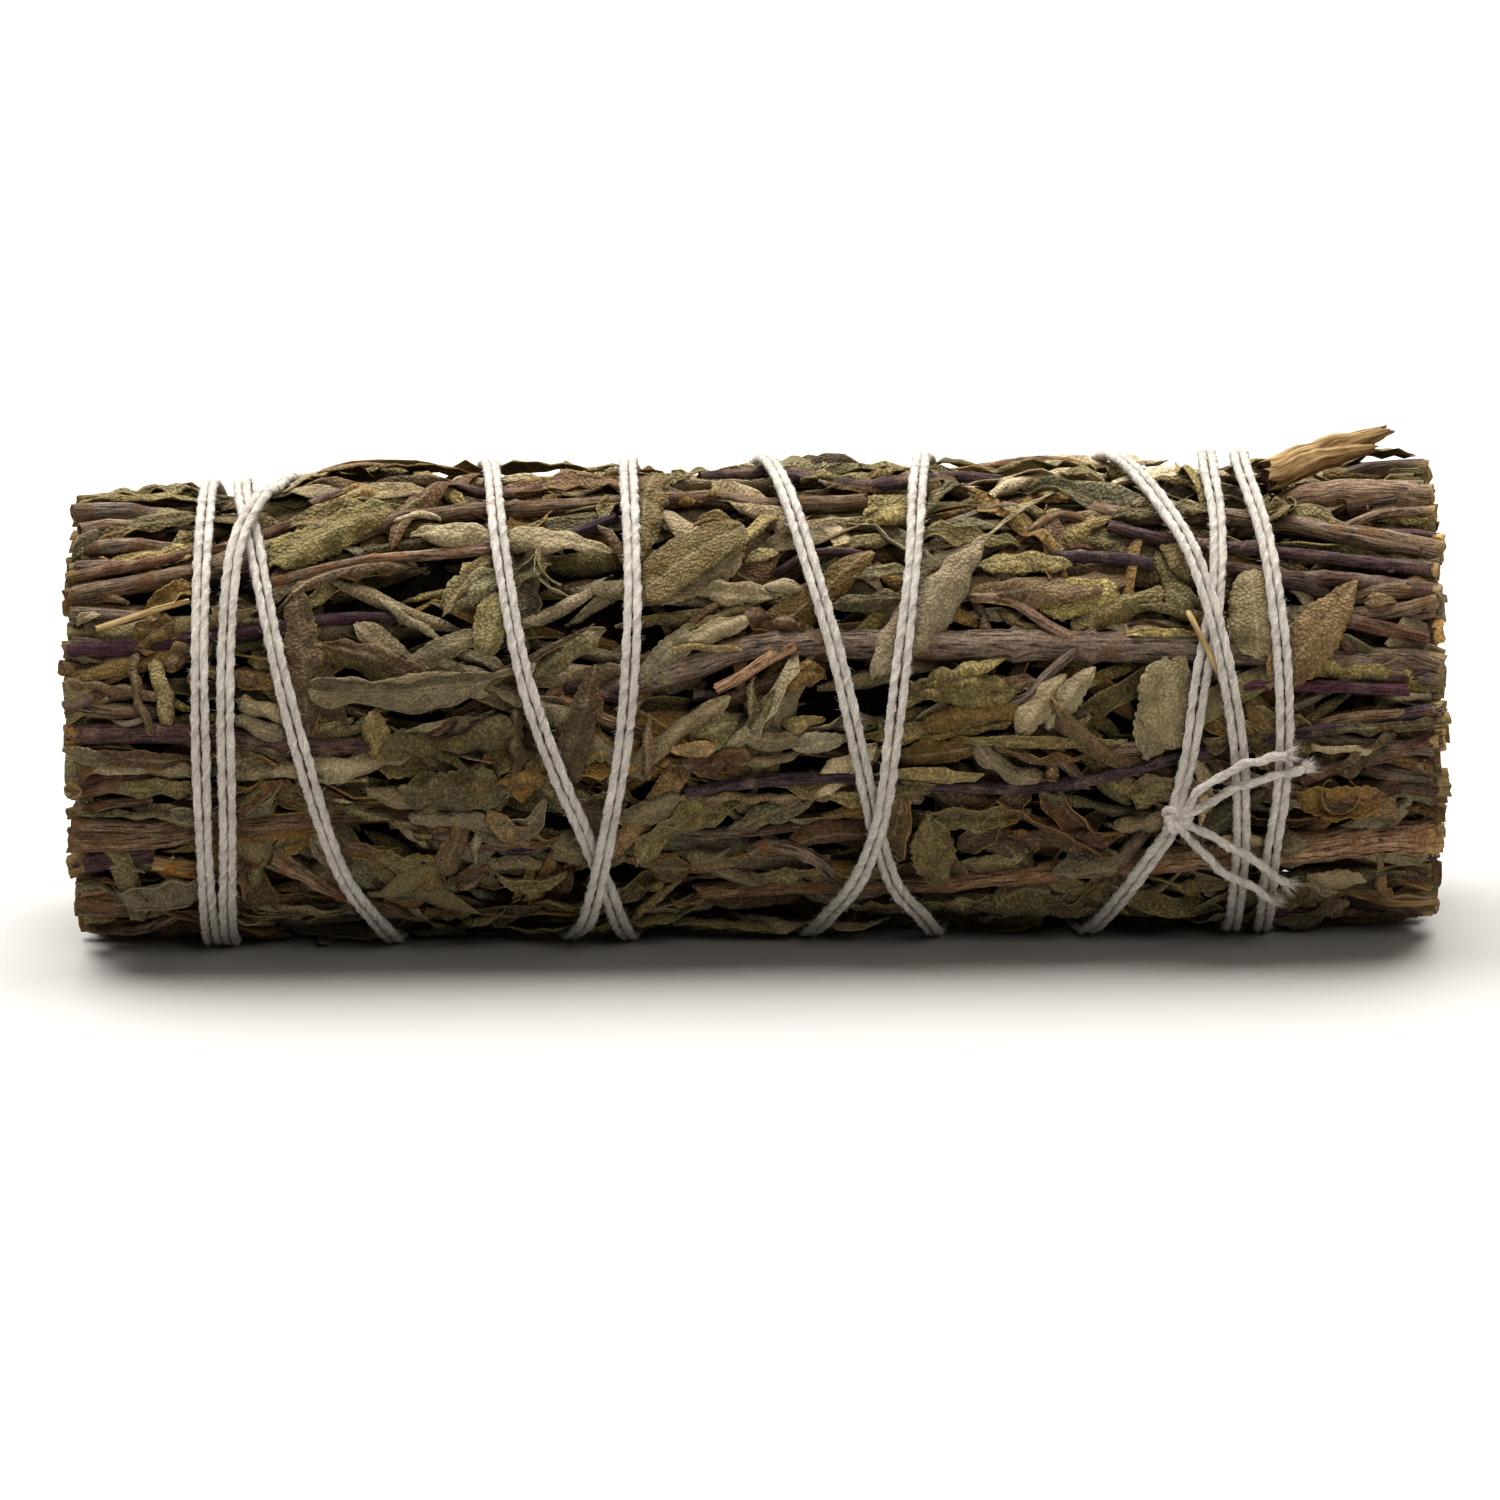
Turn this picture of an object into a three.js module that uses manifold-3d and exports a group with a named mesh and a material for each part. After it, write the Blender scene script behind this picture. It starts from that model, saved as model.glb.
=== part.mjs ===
// A tied bunch of dried sage, lying on its side: woody and purple stems, packed
// leaf, and a doubled cotton twine wound along it and knotted near one end.
//
// Millimetres. +X runs along the bunch, +Z is up, z = 0 is the surface it lies on.
// A place on the bunch is [along, angle, radius]: along is its X, angle goes round
// the long axis in degrees (0 faces -Y, 90 is the top, 180 the back) and radius is
// its distance from that axis.
import * as THREE from 'three';
import { mergeVertices } from 'three/addons/utils/BufferGeometryUtils.js';
import Module from 'manifold-3d';

const wasm = await Module();
wasm.setup();

// Driving dimensions
const AXIS_HEIGHT = 16.8; // the long axis above the surface
const STEM_REACH = 16.2; // how far out the outer stems come
const STEM_SIDES = 6;
const CUT_GAP = 0.3; // clearance left round a piece that is bedded in another
const LEAF_BED_LENGTH = 96.4;
const LEAF_BED_CORE = 1.75; // the beds' inner radius
const LEAF_BED_RADIUS = 15.4; // the beds' outer radius, before the bumps
const LEAF_BED_BUMP = 0.35;
const LEAF_BED_BUMP_LENGTH = 41;
const LEAF_BED_COUNT = 6;
const FLAT_HALF_ANGLE = 20; // the strip pressed flat underneath, seen from the axis
const LEAF_RADIUS = 16.47; // mid thickness of the leaves pressed flat outside
const LEAF_THICKNESS = 0.26;
const TWINE_DIAMETER = 0.6;
const TWINE_RADIUS = 17.15; // the wound twine's centre line
const TWINE_LIFT = 1.05; // how far a pass rises to cross another
const TWINE_SPREAD = 0.38; // half the distance between the two strands
const TWINE_FLOOR = 0.5; // height of the twine's centre line under the bunch
const TWINE_SIDES = 5;
const TWINE_STEPS_PER_TURN = 19;
const KNOT_RADIUS = 0.9;
const TAIL_RADIUS = 18.4;
const TAIL_STEPS = 7;

const finishes = {
  leaf: { color: 0x7a7048, roughness: 0.9, metalness: 0 },
  leafPale: { color: 0x857b60, roughness: 0.95, metalness: 0 },
  leafTan: { color: 0x8a6a38, roughness: 0.9, metalness: 0 },
  bark: { color: 0x6a5846, roughness: 0.85, metalness: 0 },
  purple: { color: 0x4a2f38, roughness: 0.8, metalness: 0 },
  wood: { color: 0x8f7440, roughness: 0.8, metalness: 0 },
  straw: { color: 0xa58c62, roughness: 0.7, metalness: 0 },
  cotton: { color: 0xd8d2c6, roughness: 0.95, metalness: 0 },
};

// Outer stems: name, finish, diameter, places. A place with no radius lies so that
// the stem's outer side comes to STEM_REACH. A twig grows from the stem before it.
const outerStems = [
  ['stem_thick_middle', 'bark', 1.6,
    [[-11, 14, 13.6], [-7.4, 17], [-3.9, 21], [-0.3, 25], [13.8, 25], [31, 23], [39.8, 20], [49.2, 15]],
    { diameter: 0.9, places: [[-2.8, 14], [-1.1, 17], [1.1, 22], [2.8, 25]] },
    { diameter: 0.8, places: [[15.3, 37], [18, 36], [20.8, 29], [22.8, 25]] },
    { diameter: 0.8, places: [[23, 24], [20.4, 16], [19.1, 11], [16, 9]] }],
  ['stem_brown_upper', 'bark', 1.3,
    [[-48.9, 44], [-39.5, 52], [-28.9, 60], [-24.4, 67], [-11.6, 72], [-3.5, 75], [1.1, 71], [8.1, 72]]],
  ['stem_red_left', 'purple', 0.8, [[-49, 50], [-39.6, 58], [-33, 67]]],
  ['stem_thin_left', 'bark', 0.8, [[-34.8, 46], [-30, 49], [-22.6, 52], [-18.7, 53]]],
  ['stem_purple_top_left', 'purple', 0.85, [[-31.6, 76], [-26.6, 85], [-22.4, 85], [-19.1, 78], [-15.1, 79]]],
  ['stem_hooked', 'purple', 0.85, [[-9.8, 65], [-13, 58], [-14.5, 55], [-15, 46]]],
  ['stem_purple_top', 'purple', 1,
    [[-3.8, 89], [1, 96], [3.8, 88], [7, 81], [11.1, 82], [14.5, 87], [17.8, 82]]],
  ['stem_arched_top', 'bark', 0.8, [[13.6, 101, 15.8], [19, 102, 16.6], [22, 102, 16.7], [25.2, 101, 16]]],
  ['stem_brown_right', 'bark', 1.4,
    [[24, 68], [27.2, 64], [32.6, 64], [41.4, 57], [49.1, 50]],
    { diameter: 0.8, places: [[41.8, 57], [44.7, 62], [49.2, 63]] }],
  ['stem_purple_right', 'purple', 0.9, [[25.2, 59], [29.2, 54], [35.6, 50], [41.1, 47], [49.1, 43]]],
  ['stem_red_right', 'purple', 1, [[33.5, 45], [37.4, 42], [41.6, 41], [49, 37]]],
  ['stem_thick_right', 'bark', 2.3, [[37.8, 80, 14], [41.7, 76], [49.6, 72]]],
  ['stem_purple_short', 'purple', 0.9, [[21.1, 49], [25.2, 48], [28.2, 46]]],
  ['stem_bark_top', 'bark', 1.2, [[30, 106, 14.8], [37.1, 104], [42.6, 105]]],
  ['stem_magenta_left', 'purple', 1, [[-49.2, 28], [-43.8, 29], [-37, 32], [-30.8, 34], [-25.1, 34]]],
  ['stem_purple_left', 'purple', 1.4, [[-49.4, 5], [-40.8, 5], [-31.5, 1], [-25, 1], [-16, 2, 14]]],
  ['stem_red_stub', 'purple', 1.2, [[-49.3, 12], [-46.5, 15], [-42, 18, 14.6]]],
  ['stem_left_lower', 'bark', 1.7, [[-49.5, -25], [-44.4, -25], [-36, -24, 14.4], [-24, -22, 13.4]]],
  ['twig_left_lower', 'wood', 1.1, [[-42.9, -32], [-40, -34], [-37, -35, 14.8]]],
  ['twig_ringed_left', 'bark', 1.15, [[-34.6, -31], [-31.8, -39], [-28.4, -50], [-24, -61]]],
  ['twig_ringed_middle', 'bark', 1, [[-0.6, -31], [0.6, -29], [2.5, -30], [4.1, -34], [5.2, -40]]],
  ['stem_long_bottom', 'bark', 1.8,
    [[-4.5, -53], [4.4, -49], [10.5, -50], [17.9, -46], [25.1, -41], [34.4, -37], [41.6, -33], [49.3, -31]]],
  ['stem_purple_lower', 'purple', 0.95,
    [[-5, -13], [-0.5, -10], [6.6, -9], [13.7, -12], [21.1, -12], [29.8, -5], [38.2, 1], [49, 7]]],
  ['stem_magenta_right', 'purple', 0.9, [[33.5, 13], [38.8, 13], [46, 11.5]]],
  ['stem_red_lower', 'bark', 1.2, [[38.4, -12], [41, -8], [44.2, -5], [49.2, -1]]],
  ['stem_thin_bottom', 'purple', 0.7, [[36.6, -66], [49, -69]]],
  ['stub_right_lower', 'wood', 1.4, [[39, -55, 14], [45, -57], [49.4, -57]]],
  ['straw_left', 'straw', 0.5, [[-45.6, 34, 16.2], [-42.6, 38, 16.3], [-40.3, 41, 16.2]]],
  ['stem_back_1', 'bark', 1.2, [[-48.7, 118], [-10, 115], [22, 119]]],
  ['stem_back_2', 'bark', 1.7, [[-30, 131], [10, 128], [49.3, 132]]],
  ['stem_back_3', 'purple', 1, [[-49, 146], [-10, 149], [34, 145]]],
  ['stem_back_4', 'bark', 1.9, [[-42, 163], [0, 160], [49.5, 164]]],
  ['stem_back_5', 'purple', 1.1, [[-49.2, 182], [0, 179], [40, 183]]],
  ['stem_back_6', 'bark', 1.5, [[-49, 206], [0, 210], [49.4, 205]]],
  ['stem_back_7', 'purple', 1, [[-44, 231], [4, 228], [48.8, 232]]],
];

// Stems inside the bunch: angle, radius, diameter
const innerStems = [[0, 0, 2.6], [20, 7.6, 2.2], [112, 8.4, 1.8], [196, 8, 2.4], [290, 8.6, 2]];
const INNER_STEM_LENGTH = 98.6;

// The split twig on top: two prongs that spread from one place
const SPLIT_TWIG_DIAMETER = 1.5;
const splitTwigProngs = [
  [[37.6, 83, 16.4], [41.5, 91, 17.2], [46.4, 97, 18.6]],
  [[37.6, 83, 16.4], [41.5, 90, 17], [46.5, 93, 17.7]],
];

// Leaves pressed flat on the outside: name, finish, width, base and tip
const flatLeaves = [
  ['leaf_over_thick_stem', 'leafPale', 4, [10.3, 22], [18.6, 53]],
  ['leaf_long_upper_left', 'leaf', 3, [-34.2, 51], [-25.4, 70]],
  ['leaf_grey_middle_left', 'leafPale', 2.6, [-30.9, 18], [-18, 17]],
  ['leaf_round_right', 'leaf', 3.4, [28.9, 19], [29.5, -2]],
  ['leaf_pointed_tan', 'leafTan', 3.4, [37.8, 15], [42.3, 36]],
  ['leaf_upright_middle', 'leafPale', 2.4, [-7, 85], [-7.9, 50]],
  ['leaf_broad_middle', 'leafPale', 3.4, [-6.2, 33], [-1.4, 49]],
  ['leaf_oval_right', 'leafPale', 2.8, [35, 27], [34.6, 47]],
];

// The twine's way: [along, angle] down the front of each turn and then, with the
// angle still falling, up the back; a third number lifts it over another pass.
const twineTurns = [
  [[28.9, -25], [27.6, -33], [25, -54], [22, -95], [17.4, -180], [13, -240]],
  [[11.9, 80], [11.3, 47], [10.3, 19], [9.3, -5, 1], [8.7, -17, 1], [7.4, -31, 1], [5, -54], [2, -95],
    [-3.8, -180, 1], [-8.6, -240]],
  [[-8.9, 94], [-8.6, 31], [-9.4, 0], [-10.8, -24, 1], [-11.9, -43, 1], [-12.8, -62], [-16, -100],
    [-24.4, -180, 1], [-32, -240]],
  [[-34.3, 84], [-34.9, 73, 1], [-36.3, 56, 1], [-37.2, 30], [-37.3, -20], [-37.2, -58], [-37.4, -100],
    [-38.1, -180, 1], [-39, -250]],
  [[-39, 70], [-39.3, 28], [-39.4, -20], [-39.5, -57], [-39.3, -100], [-38.2, -180], [-37, -240]],
  [[-36.4, 80], [-35.6, 62], [-34.4, 37], [-33.3, 18], [-31.2, -11], [-29.3, -35], [-27, -57], [-25, -100],
    [-22.4, -180], [-19.6, -240]],
  [[-18.8, 92], [-17.9, 51], [-16.3, 18], [-14.1, -5], [-12.4, -20], [-10.8, -39], [-9.8, -60], [-8, -100],
    [-3.4, -180], [0, -240]],
  [[1.4, 88], [3.5, 52], [6, 18], [7.5, -6], [8.6, -25], [9.8, -41], [11.8, -57], [14.2, -105],
    [17.2, -150, 1], [19.6, -182, 1], [24.4, -240]],
  [[26.5, 88], [29.2, 62], [31.1, 43, 1], [32.7, 23, 1], [33.9, 0], [34.2, -23], [34, -58], [34.1, -130],
    [34.8, -160, 1], [35.6, -185, 1], [35.3, -240]],
  [[35, 80], [36.4, 46], [37.2, 12], [37, -12], [36.4, -30], [36.2, -60], [36.2, -130], [35.3, -165],
    [34, -195], [33, -240]],
  [[32.6, 80], [32.9, 55], [32.5, 34], [31.3, 14], [30.5, -3], [29.9, -12]],
];

// The knot and the places of its four loose ends
const knotPlace = [29.6, -18.5, 17.6];
const tails = [
  [[30.4, -15, 17.9], [31.3, -10], [34.8, -4], [37.4, -3]],
  [[30.6, -16.5, 17.9], [32.2, -12.5], [36, -7.5], [38.6, -5.5]],
  [[30.5, -20, 17.9], [33.1, -24], [35.6, -31], [37.5, -37]],
  [[30.2, -22, 17.9], [32, -29], [34.2, -36], [36.8, -42]],
];

const radians = THREE.MathUtils.degToRad;

// A place on the bunch as a point of the model.
function onBunch(along, angle, radius) {
  return new THREE.Vector3(
    along,
    -radius * Math.cos(radians(angle)),
    AXIS_HEIGHT + radius * Math.sin(radians(angle)),
  );
}

// A smooth way over the bunch: a spline through places unrolled to a flat sheet
// (along, arc length, radius), rolled up again point by point. `shape` may change
// a rolled point's angle and radius, and `aside` moves it sideways on the surface.
class BunchCurve extends THREE.Curve {
  constructor(places, aside = 0, fitRadius = (angle, radius) => radius) {
    super();
    this.arcLengthDivisions = 200 + 40 * places.length;
    this.aside = aside;
    this.fitRadius = fitRadius;
    const unrolled = places.map(([along, angle, radius]) => (
      new THREE.Vector3(along, radians(angle) * TWINE_RADIUS, radius)));
    this.guide = new THREE.CatmullRomCurve3(unrolled, false, 'centripetal');
  }

  getPoint(t) {
    const place = this.guide.getPoint(t);
    const way = this.guide.getTangent(t);
    const sideways = this.aside / Math.hypot(way.x, way.y);
    const arc = place.y + way.x * sideways;
    const angle = THREE.MathUtils.radToDeg(arc / TWINE_RADIUS);
    return onBunch(place.x - way.y * sideways, angle, this.fitRadius(angle, place.z));
  }
}

// A round bar along a curve, with flat ends.
function bar(curve, diameter, sides, steps) {
  const section = new THREE.Shape();
  for (let i = 0; i < sides; i += 1) {
    const turn = (2 * Math.PI * i) / sides;
    const [x, y] = [(diameter / 2) * Math.cos(turn), (diameter / 2) * Math.sin(turn)];
    if (i === 0) section.moveTo(x, y);
    else section.lineTo(x, y);
  }
  return new THREE.ExtrudeGeometry(section, { steps, extrudePath: curve, bevelEnabled: false });
}

// A closed geometry as a solid that can be joined and cut.
function toSolid(geometry) {
  const bare = geometry.clone();
  bare.deleteAttribute('normal');
  bare.deleteAttribute('uv');
  const merged = mergeVertices(bare, 1e-4);
  const vertProperties = new Float32Array(merged.attributes.position.array);
  const triVerts = new Uint32Array(merged.index.array);
  return new wasm.Manifold(new wasm.Mesh({ numProp: 3, vertProperties, triVerts }));
}

function toGeometry(solid) {
  const { vertProperties, triVerts } = solid.getMesh();
  const geometry = new THREE.BufferGeometry();
  geometry.setAttribute('position', new THREE.BufferAttribute(vertProperties, 3));
  geometry.setIndex(new THREE.BufferAttribute(triVerts, 1));
  geometry.computeVertexNormals();
  return geometry;
}

function largestBody(solid) {
  return solid.decompose().reduce((best, body) => (body.volume() > best.volume() ? body : best));
}

const bunch = new THREE.Group();

function addPiece(name, finish, geometry) {
  const mesh = new THREE.Mesh(geometry, new THREE.MeshStandardMaterial(finishes[finish]));
  mesh.name = name;
  bunch.add(mesh);
}

// Places with the radius filled in, and the two end places moved out by `extra`.
function fullPlaces(places, diameter, extra) {
  const full = places.map(([along, angle, radius]) => [along, angle, radius ?? STEM_REACH - diameter / 2]);
  const last = full.length - 1;
  for (const [end, next] of [[0, 1], [last, last - 1]]) {
    const outward = Math.sign(full[end][0] - full[next][0]);
    full[end][0] += outward * extra;
  }
  return full;
}

// One stem or twig; `grow` makes the fatter shape that clears a bed for it.
function stemSolid(diameter, places, grow) {
  const curve = new BunchCurve(fullPlaces(places, diameter, grow));
  return toSolid(bar(curve, diameter + 2 * grow, STEM_SIDES, Math.ceil(1.5 * places.length)));
}

function branchedSolid([, , diameter, places, ...twigs], grow = 0) {
  let solid = stemSolid(diameter, places, grow);
  for (const twig of twigs) solid = solid.add(stemSolid(twig.diameter, twig.places, grow));
  return solid;
}

function splitTwigSolid(grow = 0) {
  const [upper, lower] = splitTwigProngs.map((places) => stemSolid(SPLIT_TWIG_DIAMETER, places, grow));
  return upper.add(lower);
}

function innerStemSolid([angle, radius, diameter], grow = 0) {
  const half = INNER_STEM_LENGTH / 2 + grow;
  const line = new THREE.LineCurve3(onBunch(-half, angle, radius), onBunch(half, angle, radius));
  return toSolid(bar(line, diameter + 2 * grow, STEM_SIDES, 1));
}

// A leaf pressed on the bunch: a thin slab whose width follows a leaf's outline,
// rounded at the base and pointed at the tip, bent to the bunch's roundness.
function flatLeafGeometry(width, base, tip) {
  const slab = new THREE.BoxGeometry(1, 1, LEAF_THICKNESS, 8, 2, 1);
  const [from, to] = [base, tip].map(([along, angle]) => (
    new THREE.Vector2(along, radians(angle) * LEAF_RADIUS)));
  const way = to.clone().sub(from);
  const side = new THREE.Vector2(-way.y, way.x).normalize();
  const vertices = slab.attributes.position;
  for (let i = 0; i < vertices.count; i += 1) {
    const t = vertices.getX(i) + 0.5;
    const outline = 0.08 + 0.92 * Math.sin(Math.PI * t ** 0.8) ** 0.8;
    const across = vertices.getY(i) * width * outline;
    const place = from.clone().addScaledVector(way, t).addScaledVector(side, across);
    const angle = THREE.MathUtils.radToDeg(place.y / LEAF_RADIUS);
    const point = onBunch(place.x, angle, LEAF_RADIUS + vertices.getZ(i));
    vertices.setXYZ(i, point.x, point.y, point.z);
  }
  return slab;
}

// The beds' outer radius: gently bumpy, and cut off level on the underside.
function leafBedRadius(along, angle) {
  if (Math.abs(angle + 90) < FLAT_HALF_ANGLE) return AXIS_HEIGHT / -Math.sin(radians(angle));
  const wave = Math.sin((2 * Math.PI * along) / LEAF_BED_BUMP_LENGTH) * Math.cos(radians(3 * angle));
  return LEAF_BED_RADIUS + LEAF_BED_BUMP * wave;
}

// A bed of packed leaf: one sector of the bunch, bent out of a box.
function leafBedSolid(middleAngle) {
  const sector = new THREE.BoxGeometry(LEAF_BED_LENGTH, 2, 1, 8, 5, 1);
  const vertices = sector.attributes.position;
  for (let i = 0; i < vertices.count; i += 1) {
    const outside = vertices.getZ(i) > 0;
    const clearance = Math.asin((CUT_GAP / 2 + 0.03) / (outside ? LEAF_BED_RADIUS : LEAF_BED_CORE));
    const fromMiddle = vertices.getY(i) * (Math.PI / LEAF_BED_COUNT - clearance);
    const angle = middleAngle + THREE.MathUtils.radToDeg(fromMiddle);
    const radius = outside ? leafBedRadius(vertices.getX(i), angle) : LEAF_BED_CORE;
    const point = onBunch(vertices.getX(i), angle, radius);
    vertices.setXYZ(i, point.x, point.y, point.z);
  }
  return toSolid(sector);
}

// The twine keeps TWINE_FLOOR above the surface where the bunch is pressed flat.
function twineRadius(angle, radius) {
  const down = -Math.sin(radians(angle));
  return down > 0.5 ? Math.min(radius, (AXIS_HEIGHT - TWINE_FLOOR) / down) : radius;
}

function twineCurve(aside) {
  const places = [];
  twineTurns.forEach((turn, index) => {
    for (const [along, angle, lift = 0] of turn) {
      places.push([along, angle - 360 * index, TWINE_RADIUS + lift * TWINE_LIFT]);
    }
  });
  return new BunchCurve(places, aside, twineRadius);
}

function twineBar(aside, diameter) {
  return bar(twineCurve(aside), diameter, TWINE_SIDES, TWINE_STEPS_PER_TURN * (twineTurns.length - 1));
}

// The knot with its loose ends, which are the ends of the two strands.
function knotSolid() {
  const lump = new THREE.SphereGeometry(KNOT_RADIUS, 8, 6);
  const { x, y, z } = onBunch(...knotPlace);
  lump.translate(x, y, z);
  let solid = toSolid(lump);
  for (const tail of tails) {
    const places = [knotPlace, ...tail.map(([along, angle, radius = TAIL_RADIUS]) => [along, angle, radius])];
    solid = solid.add(toSolid(bar(new BunchCurve(places), TWINE_DIAMETER, TWINE_SIDES, TAIL_STEPS)));
  }
  return solid;
}

function addStems() {
  for (const stem of outerStems) addPiece(stem[0], stem[1], toGeometry(branchedSolid(stem)));
  addPiece('twig_split', 'wood', toGeometry(splitTwigSolid()));
  innerStems.forEach((stem, index) => {
    addPiece(`stem_inner_${index + 1}`, 'bark', toGeometry(innerStemSolid(stem)));
  });
}

// The beds are cleared round every stem, and the lowest one round the twine too.
function addLeafBeds() {
  const beddedStems = [
    ...outerStems.map((stem) => branchedSolid(stem, CUT_GAP)),
    ...innerStems.map((stem) => innerStemSolid(stem, CUT_GAP)),
    splitTwigSolid(CUT_GAP),
  ];
  const beddedTwine = toSolid(twineBar(0, TWINE_DIAMETER + 2 * (TWINE_SPREAD + CUT_GAP)));
  for (let index = 0; index < LEAF_BED_COUNT; index += 1) {
    let bed = leafBedSolid(-90 + (360 / LEAF_BED_COUNT) * index);
    if (index === 0) bed = bed.subtract(beddedTwine);
    for (const stem of beddedStems) bed = bed.subtract(stem);
    addPiece(`leaf_bed_${index + 1}`, 'leaf', toGeometry(largestBody(bed)));
  }
}

function addFlatLeaves() {
  for (const [name, finish, width, base, tip] of flatLeaves) {
    addPiece(name, finish, flatLeafGeometry(width, base, tip));
  }
}

function addTwine() {
  addPiece('twine_strand_a', 'cotton', twineBar(-TWINE_SPREAD, TWINE_DIAMETER));
  addPiece('twine_strand_b', 'cotton', twineBar(TWINE_SPREAD, TWINE_DIAMETER));
  addPiece('twine_knot', 'cotton', toGeometry(knotSolid()));
}

addStems();
addLeafBeds();
addFlatLeaves();
addTwine();

export default bunch;
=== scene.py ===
import functools
import math

import bpy
import numpy as np
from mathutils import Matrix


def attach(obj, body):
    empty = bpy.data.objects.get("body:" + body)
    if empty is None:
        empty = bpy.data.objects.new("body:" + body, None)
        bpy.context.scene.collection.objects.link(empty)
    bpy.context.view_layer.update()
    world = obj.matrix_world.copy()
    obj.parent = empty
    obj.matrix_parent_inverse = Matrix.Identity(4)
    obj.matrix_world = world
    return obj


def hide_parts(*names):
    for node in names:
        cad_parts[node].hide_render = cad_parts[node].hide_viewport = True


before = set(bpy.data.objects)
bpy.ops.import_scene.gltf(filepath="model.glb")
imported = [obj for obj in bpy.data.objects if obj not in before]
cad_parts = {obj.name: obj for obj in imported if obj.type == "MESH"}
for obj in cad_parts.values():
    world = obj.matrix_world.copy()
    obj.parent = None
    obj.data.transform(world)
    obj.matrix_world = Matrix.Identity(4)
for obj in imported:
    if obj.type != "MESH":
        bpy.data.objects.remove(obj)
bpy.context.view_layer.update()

# A dried sage bunch bound with cotton twine, lying on a pale floor.
#
# Shapes are worked out in millimetres and written to the meshes in metres.
# A place on the bunch is (along, angle, radius): along is X, angle goes round the
# long axis in degrees (0 faces -Y, 90 is the top, 180 the back).

MM = 0.001
AXIS_HEIGHT = 16.8
SHEET_RADIUS = 17.15  # angles are unrolled to arc lengths at this radius
SEEN_RADIUS = 16.8  # places looked at from the front are taken to lie this far out
STEM_REACH = 16.6  # how far out the stems' outer sides lie
STRAW_REACH = 18.0  # and the bits of straw, which lie on top
RIM_REACH = 16.5  # and the cut stem ends packed at the rim
END_PLANE = 49.0  # the bunch is cut square here, at both ends
OUTER_LEFT, OUTER_RIGHT = -48.7, 48.4  # the outer stems stop a little short of it
FLATTENING = 0.075  # how much lower the top is at the left end
FLAT_FROM, FLAT_OVER = -27, 11  # where that begins, and over how many millimetres it comes

SIGHT_ELEVATION = 12.0
SIGHT_DISTANCE = 700.0
SIGHT_ROLL = 0.75
FRAME_WIDTH = 108.15  # what the frame's width spans at the bunch's axis
AXIS_IN_FRAME = (0.0037, 0.0353)  # the bunch's middle from the frame's middle, in frame widths
SENSOR = 36

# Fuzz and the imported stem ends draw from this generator, piece by piece. All else has seeds of its
# own: the core 11 to 14, the twine 61 to 90, the leaves 210 to 370, and the stems 0 to 1000.
rng = np.random.default_rng(41)


# ---------------------------------------------------------------- places and paths

def flatness(along):
    """How high the top stands, of its full height: 1, and 1 - FLATTENING at the far left.

    Between the two it follows the smooth step 3 s^2 - 2 s^3.
    """
    share = np.clip((FLAT_FROM - along) / FLAT_OVER, 0, 1)
    return 1 - FLATTENING * share ** 2 * (3 - 2 * share)


def on_bunch(along, angle, radius):
    """Points of the model: X = along, and (Y, Z) = the axis + radius (-cos angle, sin angle).

    Above the axis the height is lessened by the flatness.
    """
    turn = np.radians(angle)
    rise = radius * np.sin(turn)
    rise = rise * np.where(rise > 0, flatness(along), 1)
    return joined(along, -radius * np.cos(turn), AXIS_HEIGHT + rise)


def seen(along, height):
    """The (along, angle) where the sight line through a point of the middle plane meets the bunch.

    The point lies `along` the frame and `height` up it, and is first turned back by the roll.
    The line leaves the eye, and its nearer root with the circle y^2 + z^2 = SEEN_RADIUS^2 is kept.
    """
    roll, tilt = math.radians(SIGHT_ROLL), math.radians(SIGHT_ELEVATION)
    along, height = (along * math.cos(roll) + height * math.sin(roll),
                     height * math.cos(roll) - along * math.sin(roll))
    height = height / flatness(along) if height > 0 else height
    eye_y, eye_z = -SIGHT_DISTANCE * math.cos(tilt), SIGHT_DISTANCE * math.sin(tilt)
    way_y, way_z = height * math.sin(tilt) - eye_y, height * math.cos(tilt) - eye_z
    a = way_y ** 2 + way_z ** 2
    b = way_y * eye_y + way_z * eye_z
    c = SIGHT_DISTANCE ** 2 - SEEN_RADIUS ** 2
    t = (-b - math.sqrt(max(b * b - a * c, 0.0))) / a
    angle = math.degrees(math.atan2(eye_z + t * way_z, -(eye_y + t * way_y)))
    return t * along, angle


def joined(*columns):
    """Arrays made one shape and joined: the n-th of them is the n-th part of each point."""
    return np.stack(np.broadcast_arrays(*columns), axis=-1)


def gaps(points):
    """The distances from each point to the next."""
    return np.linalg.norm(np.diff(points, axis=0), axis=1)


def unit(vectors):
    """The vectors brought to length 1."""
    return vectors / np.linalg.norm(vectors, axis=1)[:, None]


def aslant(turn, out, side):
    """Directions that lean from out to side by an angle: cos(turn) out + sin(turn) side."""
    return np.cos(turn)[:, None] * out + np.sin(turn)[:, None] * side


def ringed(path, outwards, out, sideways, side):
    """Rings of points round a path: its points + outwards * out + sideways * side."""
    return path[:, None, :] + outwards[..., None] * out[:, None, :] + sideways[..., None] * side[:, None, :]


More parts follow.
